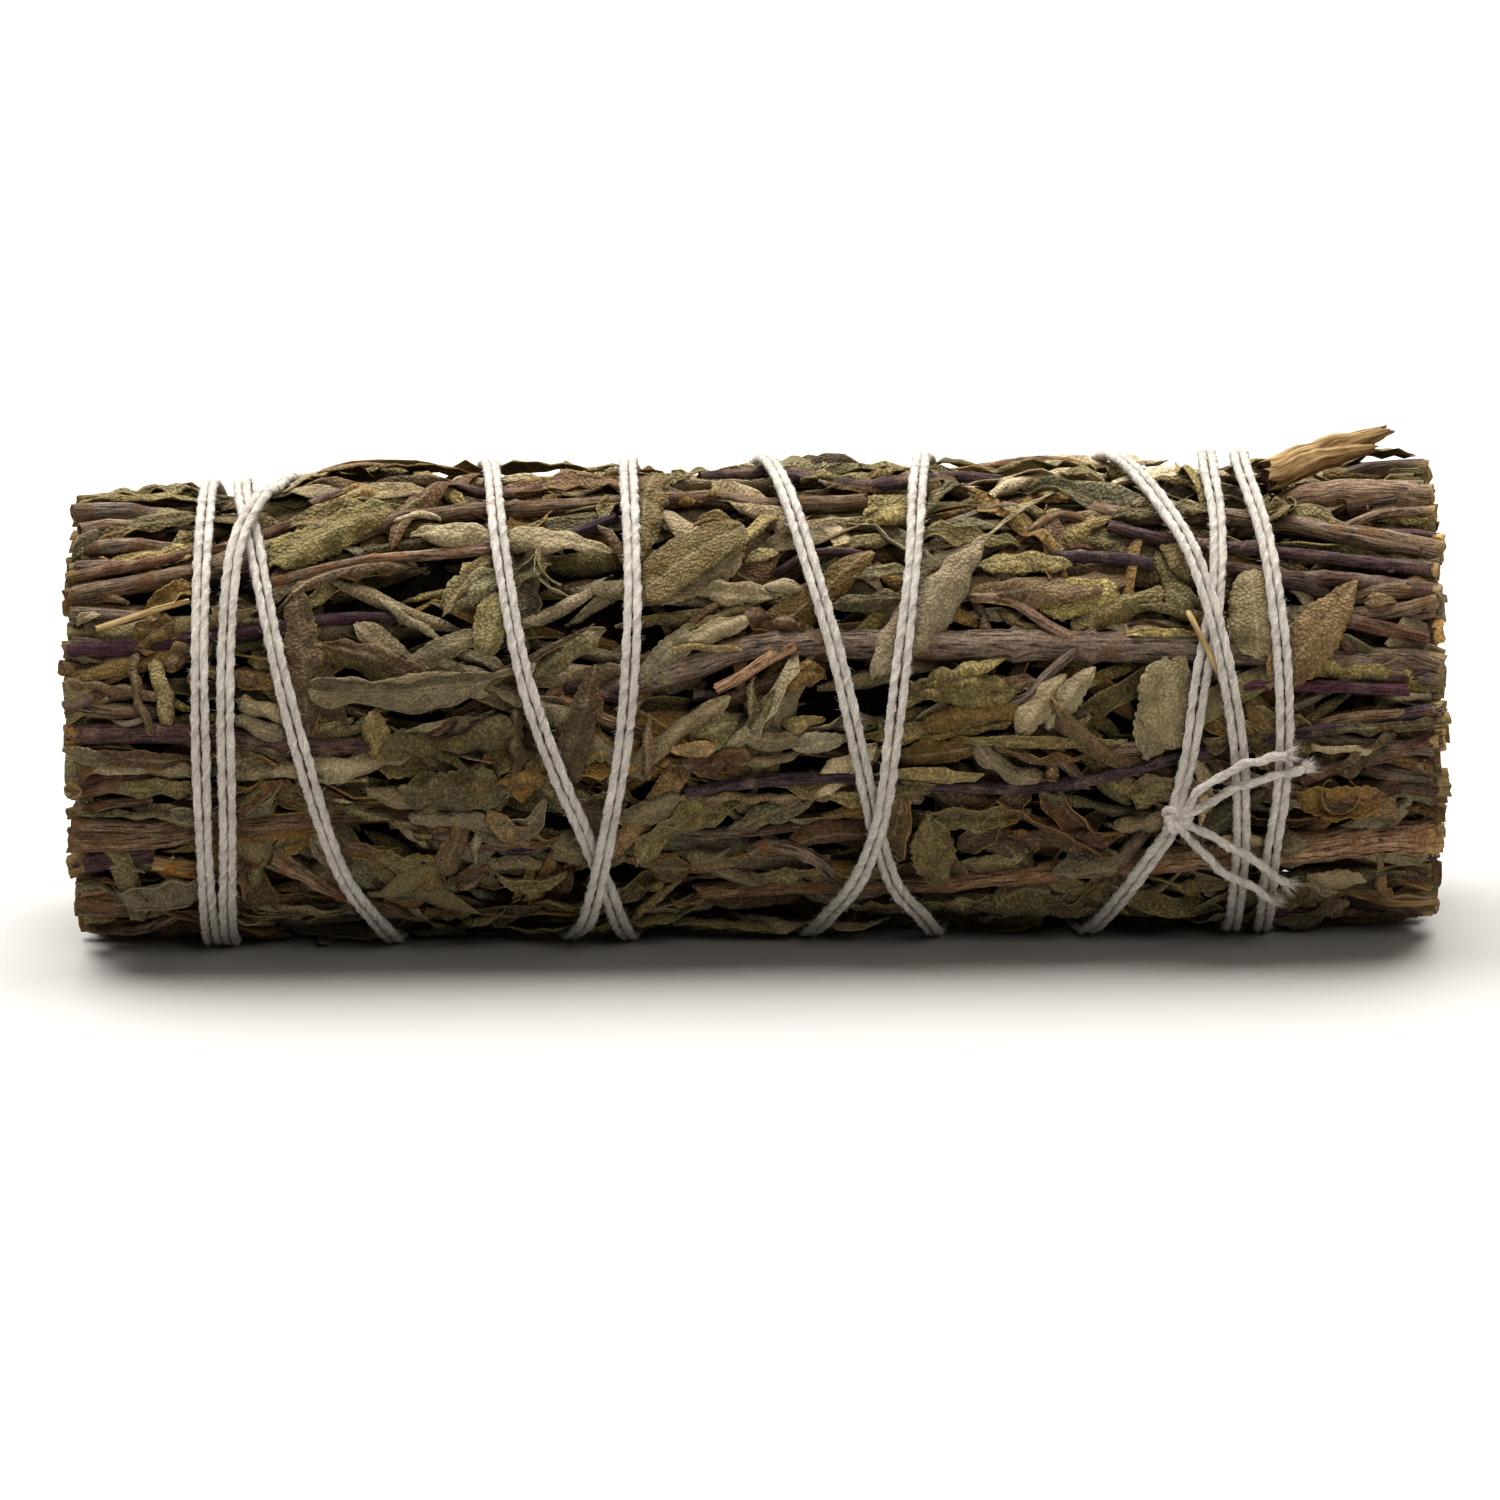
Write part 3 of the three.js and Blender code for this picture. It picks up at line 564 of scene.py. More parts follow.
# The outer stems, on the same places as the construction: name in it, finish, widths at even
# steps, places, how far along the node rings are, then the side twigs' widths and places
STEMS = [
    ("stem_thick_middle", PALE_BARK, (1.5, 1.9, 2.1, 2.2, 2.1, 1.8, 1.5),
     [(-11, 14, 13.6), (-7.4, 17), (-3.9, 21), (-0.3, 25), (13.8, 25), (31, 23), (39.8, 20), (49.2, 15)],
     (13.4, 30.4, 35.6),
     [((0.8, 1.0), [(-2.8, 14), (-1.1, 17), (1.1, 22), (2.8, 25)]),
      ((0.75, 0.85), [(15.3, 37), (18, 36), (20.8, 29), (22.8, 25)]),
      ((0.85, 0.7), [(23, 24), (20.4, 16), (19.1, 11), (16, 9)])]),
    ("stem_brown_upper", BARK, (1.4, 1.35, 1.25, 1.2), [
        (-48.9, 44), (-39.5, 52), (-28.9, 60), (-24.4, 67), (-11.6, 72), (-3.5, 75), (1.1, 71), (8.1, 72)],
     (14, 33), []),
    ("stem_red_left", RED, (0.85, 0.8), [(-49, 50), (-39.6, 58), (-33, 67)], (), []),
    ("stem_thin_left", BARK, (0.75, 0.85), [(-34.8, 46), (-30, 49), (-22.6, 52), (-18.7, 53)], (8,), []),
    ("stem_purple_top_left", PURPLE, (0.8, 0.9), [
        (-31.6, 76), (-26.6, 85), (-22.4, 85), (-19.1, 78), (-15.1, 79)], (9,), []),
    ("stem_hooked", PURPLE, (0.8, 0.9), [(-9.8, 65), (-13, 58), (-14.5, 55), (-15, 46)], (), []),
    ("stem_purple_top", PURPLE, (1.0, 1.0), [
        (-3.8, 89), (1, 96), (3.8, 88), (7, 81), (11.1, 82), (14.5, 87), (17.8, 82)], (8, 15), []),
    ("stem_arched_top", BARK, (0.7, 0.8, 0.7), [
        (13.6, 101, 15.8), (19, 102, 16.6), (22, 102, 16.7), (25.2, 101, 16)], (6,), []),
    ("stem_brown_right", BARK, (1.2, 1.35, 1.65), [(24, 68), (27.2, 64), (32.6, 64), (41.4, 57), (49.1, 50)],
     (12, 18), [((0.7, 0.8), [(41.8, 57), (44.7, 62), (49.2, 63)])]),
    ("stem_purple_right", PURPLE, (0.9, 0.95), [(25.2, 59), (29.2, 54), (35.6, 50), (41.1, 47), (49.1, 43)],
     (10,), []),
    ("stem_red_right", RED, (1.0, 1.2), [(33.5, 45), (37.4, 42), (41.6, 41), (49, 37)], (7,), []),
    ("stem_thick_right", PALE_BARK, (2.3, 2.3), [(37.8, 80, 14), (41.7, 76), (49.6, 72)], (), []),
    ("stem_purple_short", PURPLE, (0.85, 0.95), [(21.1, 49), (25.2, 48), (28.2, 46)], (), []),
    ("stem_bark_top", BARK, (1.2, 1.3), [(30, 106, 14.8), (37.1, 104), (42.6, 105)], (9,), []),
    ("stem_magenta_left", MAGENTA, (1.5, 1.0, 0.8), [
        (-49.2, 28), (-43.8, 29), (-37, 32), (-30.8, 34), (-25.1, 34)], (5,), []),
    ("stem_purple_left", PURPLE, (1.5, 1.5, 1.1, 1.1), [
        (-49.4, 5), (-40.8, 5), (-31.5, 1), (-25, 1), (-16, 2, 14)], (9, 24), []),
    ("stem_red_stub", RED, (1.2, 1.1), [(-49.3, 12), (-46.5, 15), (-42, 18, 14.6)], (), []),
    ("stem_left_lower", BARK, (1.8, 1.6), [(-49.5, -25), (-44.4, -25), (-36, -24, 14.4), (-24, -22, 13.4)],
     (), []),
    ("twig_left_lower", WOOD, (1.1, 1.0), [(-42.9, -32), (-40, -34), (-37, -35, 14.8)], (2,), []),
    ("twig_ringed_left", BARK, (1.25, 1.1, 1.1), [(-34.6, -31), (-31.8, -39), (-28.4, -50), (-24, -61)],
     (2, 4.2, 6.5, 8.6, 11), []),
    ("twig_ringed_middle", BARK, (0.9, 1.0), [
        (-0.6, -31), (0.6, -29), (2.5, -30), (4.1, -34), (5.2, -40)], (1.2, 2.6, 4.4), []),
    ("stem_long_bottom", PALE_BARK, (1.3, 1.4, 1.7, 2.2, 2.7), [
        (-4.5, -53), (4.4, -49), (10.5, -50), (17.9, -46), (25.1, -41), (34.4, -37), (41.6, -33),
        (49.3, -31)], (12, 31), []),
    ("stem_purple_lower", PURPLE, (0.95, 0.8, 0.9, 1.0), [
        (-5, -13), (-0.5, -10), (6.6, -9), (13.7, -12), (21.1, -12), (29.8, -5), (38.2, 1), (49, 7)],
     (9, 27), []),
    ("stem_magenta_right", MAGENTA, (0.9, 0.9), [(33.5, 13), (38.8, 13), (46, 11.5)], (), []),
    ("stem_red_lower", RED, (1.0, 1.3), [(38.4, -12), (41, -8), (44.2, -5), (49.2, -1)], (), []),
    ("stem_thin_bottom", PURPLE, (0.65, 0.7), [(36.6, -66), (49, -69)], (), []),
    ("stub_right_lower", WOOD, (1.4, 1.4), [(39, -55, 14), (45, -57), (49.4, -57)], (), []),
    ("straw_left", STRAW, (0.5, 0.42), [(-46.4, 33, 16.9), (-42.6, 37.5, 17.1), (-39.9, 41, 16.7)], (), []),
    ("stem_back_1", BARK, (1.2, 1.2), [(-48.7, 118), (-10, 115), (22, 119)], (20, 48), []),
    ("stem_back_2", BARK, (1.6, 1.9), [(-30, 131), (10, 128), (49.3, 132)], (25, 61), []),
    ("stem_back_3", PURPLE, (1.0, 1.0), [(-49, 146), (-10, 149), (34, 145)], (31,), []),
    ("stem_back_4", BARK, (1.8, 2.0), [(-42, 163), (0, 160), (49.5, 164)], (30, 66), []),
    ("stem_back_5", PURPLE, (1.1, 1.1), [(-49.2, 182), (0, 179), (40, 183)], (40,), []),
    ("stem_back_6", BARK, (1.5, 1.5), [(-49, 206), (0, 210), (49.4, 205)], (22, 70), []),
    ("stem_back_7", PURPLE, (1.0, 1.0), [(-44, 231), (4, 228), (48.8, 232)], (35,), []),
]
# The stems inside: angle, radius and width
INNER_STEMS = [(0, 0, 2.6), (20, 7.6, 2.2), (112, 8.4, 1.8), (196, 8, 2.4), (290, 8.6, 2)]


def with_reach(places, width):
    """The places; one without a radius puts the outer side of a stem so wide at STEM_REACH."""
    return [place if len(place) == 3 else (*place, STEM_REACH - width / 2) for place in places]


def full_path(places, width):
    """A stem's path. An outer stem stops short of the end planes, at OUTER_LEFT and OUTER_RIGHT."""
    sheet = np.array(unrolled(with_reach(places, width)))
    least_outer_radius = 12
    if sheet[0, 2] > least_outer_radius:
        sheet[:, 0] = np.clip(sheet[:, 0], OUTER_LEFT, OUTER_RIGHT)
    return rolled(spline(sheet, 60))


def make_stems(finishes, cuts, down):
    """The outer stems with their side twigs, and the down on the young ones."""
    for number, (name, finish, widths, places, rings, twigs) in enumerate(STEMS):
        build = Build()
        seed = 11 * number
        path, out, tangent, radius = add_stem(
            build, full_path(places, max(widths)), widths, seed, rings, ragged=1.0 if finish == WOOD else 0.7,
            step=1.0 if name.startswith("stem_back") else 0.45)
        for order, (twig_widths, twig_places) in enumerate(twigs):
            add_stem(build, full_path(twig_places, max(twig_widths)), twig_widths, seed + order + 1, step=0.3)
        if finish in (PURPLE, MAGENTA):
            add_stem_fuzz(build, path, tangent, out, radius)
        finish_piece(build, name + "_grown", [finishes[finish], *cuts, down], SLOT_OF[finish], name)


def add_stem_fuzz(build, path, tangent, out, radius):
    """Short pale down that stands off a young stem, five hairs for each step of its path."""
    count = len(path) * 5
    at = rng.integers(1, len(path) - 1, count)
    turn = rng.uniform(0, 2 * np.pi, count)
    off = aslant(turn, out[at], np.cross(tangent[at], out[at]))
    roots = path[at] + tangent[at] * rng.uniform(-0.2, 0.2, count)[:, None]
    roots = roots + off * radius[at].mean(1)[:, None] * 0.9
    ways = off + tangent[at] * rng.normal(0.2, 0.6, count)[:, None]
    add_hairs(build, roots, ways, rng.uniform(0.12, 0.3, count), thick=0.008, finish=DOWN,
              stem_place=np.zeros((1, 3)), stem_tint=np.ones((1, 4)), stem_end=np.full((1, 3), 9.0))


# The split twig's slivers: widths at even steps, and places
SPLIT_TWIG = [
    ((1.9, 2.1, 1.8, 0.8), [(36.6, 82, 16.5), (40.6, 90, 17.3), (45.6, 97, 18.6)]),
    ((1.6, 1.8, 1.5, 0.6), [(36.8, 79, 16.3), (40.6, 86, 17.1), (44.6, 91, 17.6)]),
]
# Small stems that lie among the leaves: finish, width and the places they run through, as
# looked at from the front, in millimetres along and up from the bunch's middle
SMALL_STEMS = [
    (BARK, 0.85, [(12.7, 13.6), (18.8, 14.1), (19.8, 13.9)]),
    (BARK, 1, [(-4.7, 15.9), (0.3, 16.2)]),
    (PURPLE, 1.2, [(-50.1, 2.5), (-48.0, 2.7)]),
    (BARK, 0.9, [(44.2, -5.6), (48.3, -5.1)]),
    (RED, 0.6, [(-49.4, -13.2), (-47.0, -13.3)]),
    (BARK, 0.85, [(-48.8, -14.5), (-44.7, -15.0)]),
    (BARK, 0.8, [(-48.4, -17.0), (-46.4, -17.4), (-41.9, -16.4), (-39.7, -16.1)]),
    (BARK, 1.2, [(24.1, -15.1), (26.4, -12.3), (28.4, -10.7)]),
    (BARK, 1.5, [(46.1, 6.7), (48.8, 6.8)]),
    (WOOD, 1.3, [(45.9, -14.5), (48.8, -14.3)]),
    (BARK, 0.5, [(22.0, 11.6), (23.7, 10.3)]),
    (STRAW, 0.45, [(31.2, 6.2), (31.6, 5.0), (33.1, 2.2), (33.6, 1.1)]),
    (BARK, 0.5, [(-46.9, -1.2), (-45.5, -1.8), (-44.2, -1.4), (-43.2, -0.4)]),
    (PURPLE, 0.7, [(1.4, 9.9), (3.6, 10.5), (6.8, 10.8), (9.0, 10.8)]),
    (RED, 0.7, [(12.1, 10.8), (14.7, 10.5)]),
    (BARK, 0.8, [(17.8, 11.8), (19.8, 12.3), (22.1, 13.6), (25.6, 13.3)]),
    (PURPLE, 0.8, [(-13.7, 0.9), (-9.8, -0.2)]),
    (PURPLE, 0.8, [(-4.5, 0.2), (-2.7, 0.1)]),
    (BARK, 0.8, [(3.2, -4.3), (6.8, -4.8)]),
    (RED, 0.9, [(28.4, 17.2), (31.8, 17.4)]),
    (PURPLE, 1.1, [(33.9, 9.0), (38.5, 8.6), (42.3, 7.9)]),
    (BARK, 1.4, [(42.4, 8.0), (45.4, 8.1), (48.5, 8.1)]),
    (RED, 1.2, [(38.4, 6.9), (42.5, 5.8), (48.5, 4.4)]),
    (BARK, 0.8, [(40.8, 5.4), (42.7, 3.8), (43.7, 2.8)]),
    (BARK, 1.2, [(41.8, 15.4), (45.7, 15.4), (48.9, 15.1)]),
    (BARK, 0.7, [(28.4, 15.6), (31.9, 17.1)]),
    (BARK, 0.8, [(39.0, -2.8), (42.1, -1.7), (48.9, -1.1)]),
    (BARK, 1.1, [(42.0, -5.4), (45.4, -5.7), (48.8, -6.1)]),
    (PURPLE, 1.2, [(44.7, -6.8), (48.8, -7.0)]),
    (BARK, 0.8, [(43.2, -12.9), (48.5, -13.3)]),
    (BARK, 1, [(24.0, -4.5), (27.7, -3.8), (30.6, -3.2)]),
    (BARK, 1, [(34.9, 13.3), (38.5, 12.8), (42.9, 11.8), (47.9, 10.9)]),
    (BARK, 1.1, [(38.5, -2.7), (42.9, -3.4), (48.9, -4.0)]),
    (BARK, 0.9, [(31.8, -8.3), (37.8, -8.5)]),
    (BARK, 0.9, [(-32.8, -13.5), (-29.2, -14.3), (-25.6, -15.5)]),
    (BARK, 1.1, [(-48.4, 11.3), (-44.4, 11.6), (-40.8, 12.0)]),
    (BARK, 0.9, [(-49.1, -0.2), (-45.8, 0.1)]),
    (BARK, 1, [(-49.3, -9.4), (-45.8, -9.7), (-40.8, -10.3)]),
    (BARK, 0.9, [(-14.1, -0.2), (-10.5, -1.8), (-7.6, -2.7)]),
    (BARK, 0.8, [(-8.3, -10.5), (-2.6, -10.2), (3.2, -10.5)]),
    (PURPLE, 0.8, [(-21.3, -11.0), (-17.0, -11.5), (-13.4, -11.2)]),
    (BARK, 0.8, [(-4.0, 15.6), (-8.3, 15.9), (-14.1, 15.4)]),
]


def make_split_twig(finishes, cuts):
    """The split twig that sticks out at the top right: two ragged slivers that taper."""
    build = Build()
    for number, (widths, places) in enumerate(SPLIT_TWIG):
        add_stem(build, full_path(places, 1.5), widths, 700 + number, ridges=0.1, ragged=1.6, step=0.4)
    finish_piece(build, "twig_split_grown", [finishes[WOOD], *cuts], "split_wood", "twig_split")


def make_small_stems(finishes, cuts):
    """The small stems; an end that is not at an end of the bunch dips in among the leaves."""
    build = Build()
    near_end, dip = 47, 1.3
    for number, (finish, width, places) in enumerate(SMALL_STEMS):
        reach = STRAW_REACH if finish == STRAW else STEM_REACH
        sheet = np.array(unrolled([(*seen(*place), reach - width / 2) for place in places]))
        for index in (0, -1):
            if abs(sheet[index, 0]) < near_end:
                sheet[index, 2] -= dip
        path = rolled(spline(sheet, 60))
        add_stem(build, path, (width, width * 0.92), 600 + number, step=0.5, side_finish=finish,
                 cuts=(len(finishes), len(finishes) + 1))
    finish_piece(build, "small_stems", [*finishes, *cuts], "bark")


def fallen_back(radius):
    """How far the ends of the bunch are rounded off at a radius: 0.4 mm at 16 mm, as its square."""
    return 0.4 * (radius / 16) ** 2


def make_inner_stems(finishes, cuts):
    """The stems inside, of which the ends show."""
    for number, (angle, radius, width) in enumerate(INNER_STEMS):
        build = Build()
        ends = [(-END_PLANE, angle, radius), (0, angle, radius), (END_PLANE, angle, radius)]
        add_stem(build, full_path(ends, width), (width, width), 500 + number, step=1.2, ragged=0.3)
        name = f"stem_inner_{number + 1}"
        finish_piece(build, name + "_grown", [finishes[BARK], *cuts], "bark", name)


def make_packed_ends(finishes, cuts):
    """Short stem ends packed at both ends of the bunch, and more of them round the rim.

    The end numbered n stands at about 137.5 n degrees and at the radius 15.2 sqrt((n + 0.6) / 58), which
    spreads them evenly. It runs 6 mm inwards from the end's face.
    """
    build = Build()
    inside, at_rim = 58, 26
    radii = 15.2 * np.sqrt((np.arange(inside) + 0.6) / inside)
    radii = np.concatenate([radii, np.full(at_rim, 15.9)])
    shown = finishes[:3]
    for end, least, most in ((-1, -0.8, 0.3), (1, -0.5, 0.4)):
        for number, radius in enumerate(radii):
            angle = number * 137.5 + 40 * end + rng.uniform(-12, 12)
            width = rng.uniform(0.8, 2.0)
            radius = min(radius, RIM_REACH - width / 2)
            face = END_PLANE + rng.uniform(least, most) - fallen_back(radius)
            places = [(end * (face - 6), angle, radius - 0.6), (end * (face - 3), angle, radius),
                      (end * face, angle + rng.uniform(-3, 3), radius)]
            path = rolled(spline(unrolled(places), 20))
            side_finish = rng.choice([BARK, BARK, BARK, PURPLE, RED])
            add_stem(build, path, (width, width), 800 + number + 60 * end, step=1.6, ragged=0.5,
                     most_sides=10, side_finish=side_finish, cuts=(len(shown), len(shown) + 1))
    finish_piece(build, "packed_stem_ends", [*shown, *cuts], "bark")


# ---------------------------------------------------------------- twine

TWINE_LIFT = 1.05  # how far out a pass runs where it crosses over another
TWINE_FLOOR = 0.5  # how high above the floor its centre line stays
TWINE_SPREAD = 0.32  # how far either strand runs from the line between them
TWINE_LENGTH = 1100  # about the length of one strand
PLY_RADIUS = 0.275
PLY_OFFSET = 0.075
PLY_PITCH = 2.9
TWINE_STEP = 0.25

# The twine's way, turn by turn: (along, angle), and a third number where it crosses over a pass
TWINE_TURNS = [
    [(28.9, -25), (27.6, -33), (25, -54), (22, -95), (17.4, -180), (13, -240)],
    [(11.9, 80), (11.3, 47), (10.3, 19), (9.3, -5, 1), (8.7, -17, 1), (7.4, -31, 1), (5, -54), (2, -95),
     (-3.8, -180, 1), (-8.6, -240)],
    [(-8.9, 94), (-8.6, 31), (-9.4, 0), (-10.8, -24, 1), (-11.9, -43, 1), (-12.8, -62), (-16, -100),
     (-24.4, -180, 1), (-32, -240)],
    [(-34.3, 84), (-34.9, 73, 1), (-36.5, 56, 1), (-37.2, 30), (-37.4, -20), (-37.9, -58), (-37.7, -100),
     (-38.1, -180, 1), (-39, -250)],
    [(-39, 70), (-39.1, 28), (-39.1, -20), (-39.2, -57), (-39.2, -100), (-38.2, -180), (-37, -240)],
    [(-36.4, 80), (-35.6, 62), (-34.4, 37), (-33.3, 18), (-31.2, -11), (-29.3, -35), (-27, -57), (-25, -100),
     (-22.4, -180), (-19.6, -240)],
    [(-18.8, 92), (-17.9, 51), (-16.3, 18), (-14.1, -5), (-12.4, -20), (-10.8, -39), (-9.8, -60), (-8, -100),
     (-3.4, -180), (0, -240)],
    [(1.4, 88), (3.5, 52), (6, 18), (7.5, -6), (8.6, -25), (9.8, -41), (11.8, -57), (14.2, -105),
     (17.2, -150, 1), (19.6, -182, 1), (24.4, -240)],
    [(26.5, 88), (29.2, 62), (31.1, 43, 1), (32.7, 23, 1), (33.9, 0), (34.2, -23), (34, -58), (34.1, -130),
     (34.8, -160, 1), (35.6, -185, 1), (35.3, -240)],
    [(35, 80), (36.4, 46), (37.2, 12), (37, -12), (36.4, -30), (36.2, -60), (36.2, -130), (35.3, -165),
     (34, -195), (33, -240)],
    [(32.6, 80), (32.9, 55), (32.5, 34), (31.3, 14), (30.5, -3), (29.9, -12)],
]
# The knot, and the loose ends, which run TAIL_RADIUS out where no radius is given
KNOT_PLACE = (29.6, -18.5, 17.6)
TAIL_RADIUS = 18.3
TAILS = [
    [(30.4, -15, 17.9), (31.3, -10), (34.8, -4), (37.4, -3)],
    [(30.6, -16.5, 17.9), (32.2, -12.5), (36, -7.5), (38.6, -5.5)],
    [(30.5, -20, 17.9), (33.1, -24), (35.6, -31), (37.5, -37)],
    [(30.2, -22, 17.9), (32, -29), (34.2, -36), (36.8, -42)],
]


def twine_sheet():
    """The twine's centre line on the unrolled sheet, in even steps of TWINE_STEP."""
    places = []
    for index, turn in enumerate(TWINE_TURNS):
        for along, angle, *lift in turn:
            places.append((along, angle - 360 * index, SHEET_RADIUS + sum(lift) * TWINE_LIFT))
    along, angle, radius = KNOT_PLACE
    places = [(along - 0.2, angle - 1.5, radius), *places,
              (along, angle + 1.5 - 360 * (len(TWINE_TURNS) - 1), radius)]
    length = gaps(spline(unrolled(places), 600)).sum()
    return spline(unrolled(places), int(length / TWINE_STEP))


def laid_beside(sheet, aside):
    """The line moved sideways on the sheet, and kept TWINE_FLOOR above the floor underneath.

    Underneath is where the radius slopes down by more than 30 degrees, of which the sine is 0.5.
    """
    way = np.gradient(sheet, axis=0)
    across = np.stack([-way[:, 1], way[:, 0]], axis=1) / np.hypot(way[:, 0], way[:, 1])[:, None]
    moved = sheet.copy()
    moved[:, :2] += across * np.broadcast_to(aside, len(sheet))[:, None]
    down = np.maximum(-np.sin(moved[:, 1] / SHEET_RADIUS), 0.5)
    lowest = np.minimum(moved[:, 2], (AXIS_HEIGHT - TWINE_FLOOR) / down)
    moved[:, 2] = np.where(down > 0.5, lowest, moved[:, 2])
    return moved


def add_cord(build, path, seed, swell=1.0):
    """Two-ply cord: the outline of two touching plies, turned once in PLY_PITCH along the path.

    radius(turn) = offset * |cos turn| + sqrt(ply radius^2 - (offset * sin turn)^2), times `swell`
    and slow and quick ripples for the soft uneven spinning. twine_place is the distance along
    it and round a ply, in millimetres, and how far from the groove between the plies, where the material
    paints shade.
    """
    sides = 9
    tangent, out, side = frames(path)
    s = np.append(0, np.cumsum(gaps(path)))[:, None]
    turn = np.linspace(0, 2 * np.pi, sides, endpoint=False)[None, :]
    spin = turn + 2 * np.pi * s / PLY_PITCH + 1.1 * ripple(s, 0 * s, seed, 7.0) + seed
    outline = PLY_OFFSET * np.abs(np.cos(turn)) + np.sqrt(PLY_RADIUS ** 2 - (PLY_OFFSET * np.sin(turn)) ** 2)
    lumps = 0.11 * ripple(s, turn, seed + 1, 2.4) + 0.13 * ripple(s, turn, seed + 2, 0.8, 8, 3)
    radius = swell * outline * (1 + lumps)
    points = ringed(path, radius * np.cos(spin), out, radius * np.sin(spin), side)
    poles = path[[0, -1]] + tangent[[0, -1]] * np.array([[-0.1], [0.1]])
    place = joined(s + 3 * seed, turn * PLY_RADIUS * 1.6, np.cos(turn) ** 2 + 0 * s)
    place = np.concatenate([place.reshape(-1, 3), place[0, :1], place[-1, :1]])
    points = np.concatenate([points.reshape(-1, 3), poles])
    build.add(points, tube_faces(len(path), sides), twine_place=place)
    return tangent, out, side, radius.max(axis=1)


FIBRE_PLACE = np.array([[0, 0, 1]])  # a loose fibre gets none of the painted shade of the groove between the plies


def add_cord_fuzz(build, path, tangent, out, side, reach, per_mm):
    """Loose cotton fibres that stand off the cord, mostly lying back along it."""
    count = int(len(path) * TWINE_STEP * per_mm)
    at = rng.integers(1, len(path) - 1, count)
    turn = rng.uniform(0, 2 * np.pi, count)
    off = aslant(turn, out[at], side[at])
    roots = path[at] + off * reach[at][:, None] * 0.75
    ways = off * rng.uniform(0.2, 1.0, count)[:, None] + tangent[at] * rng.normal(0, 0.8, count)[:, None]
    ways += np.cross(tangent[at], off) * rng.normal(0, 0.5, count)[:, None]
    add_hairs(build, roots, ways, rng.uniform(0.15, 0.75, count), thick=0.017, twine_place=FIBRE_PLACE)


def cotton_material():
    """Undyed cotton twine, spun soft: matt lumps of fibre wound round each ply, with painted shade in the
    groove between the plies.

    The lumps are about 0.16 mm by 0.36 mm and lean the way the plies were spun.
    """
    material, shader, add = new_material("undyed_cotton_spun_twine")
    place = add("Attribute", {"attribute_name": "twine_place"}).outputs["Vector"]
    parts = add("SeparateXYZ", Vector=place)
    leant = add("Mapping", Vector=place, Rotation=(0, 0, 0.6), Scale=(2.0, 4.5, 0.0))
    fibres = add("TexNoise", Vector=leant, Scale=1.4, Detail=5.0, Roughness=0.75)
    drift = add("TexNoise", Vector=place, Scale=0.35, Detail=2.0)
    fibre_share = add("MapRange", Value=fibres, From_Min=0.36, From_Max=0.6)
    # painted shade: the groove between the two plies is darkened towards #8f8678
    groove_shade_share = add("MapRange", Value=parts.outputs[2], From_Min=0.0, From_Max=0.25, To_Min=0.78)
    drift_tone = add("MapRange", Value=drift, From_Min=0.3, From_Max=0.7, To_Min=0.86, To_Max=1.06)
    fibre_tone = add("Mix", MIX, Factor=fibre_share, A="#b6ada1", B="#f2ebe2")
    drifted = add("Mix", MULTIPLY, Factor=1.0, A=fibre_tone, B=drift_tone)
    groove_shaded = add("Mix", MIX, Factor=groove_shade_share, A="#8f8678", B=drifted)
    bump = add("Bump", Strength=1.0, Distance=0.00014, Height=fibres)
    feed(material, shader, Base_Color=groove_shaded, Normal=bump, Roughness=0.95, Specular_IOR_Level=0.15,
         Sheen_Weight=0.3)
    return material


def make_twine(sheet, cotton):
    """The two strands, side by side along the twine's line, a little nearer here and farther there."""
    drift = ripple(np.linspace(0, TWINE_LENGTH, len(sheet)), 0, 90, 12.0)
    for name, aside, seed in (("twine_strand_a", -1, 61), ("twine_strand_b", 1, 67)):
        build = Build()
        path = rolled(laid_beside(sheet, aside * (TWINE_SPREAD + 0.05 * drift)))
        tangent, out, side, reach = add_cord(build, path, seed)
        add_cord_fuzz(build, path, tangent, out, side, reach, per_mm=8.5)
        finish_piece(build, name + "_spun", [cotton], "cotton_twine", name)


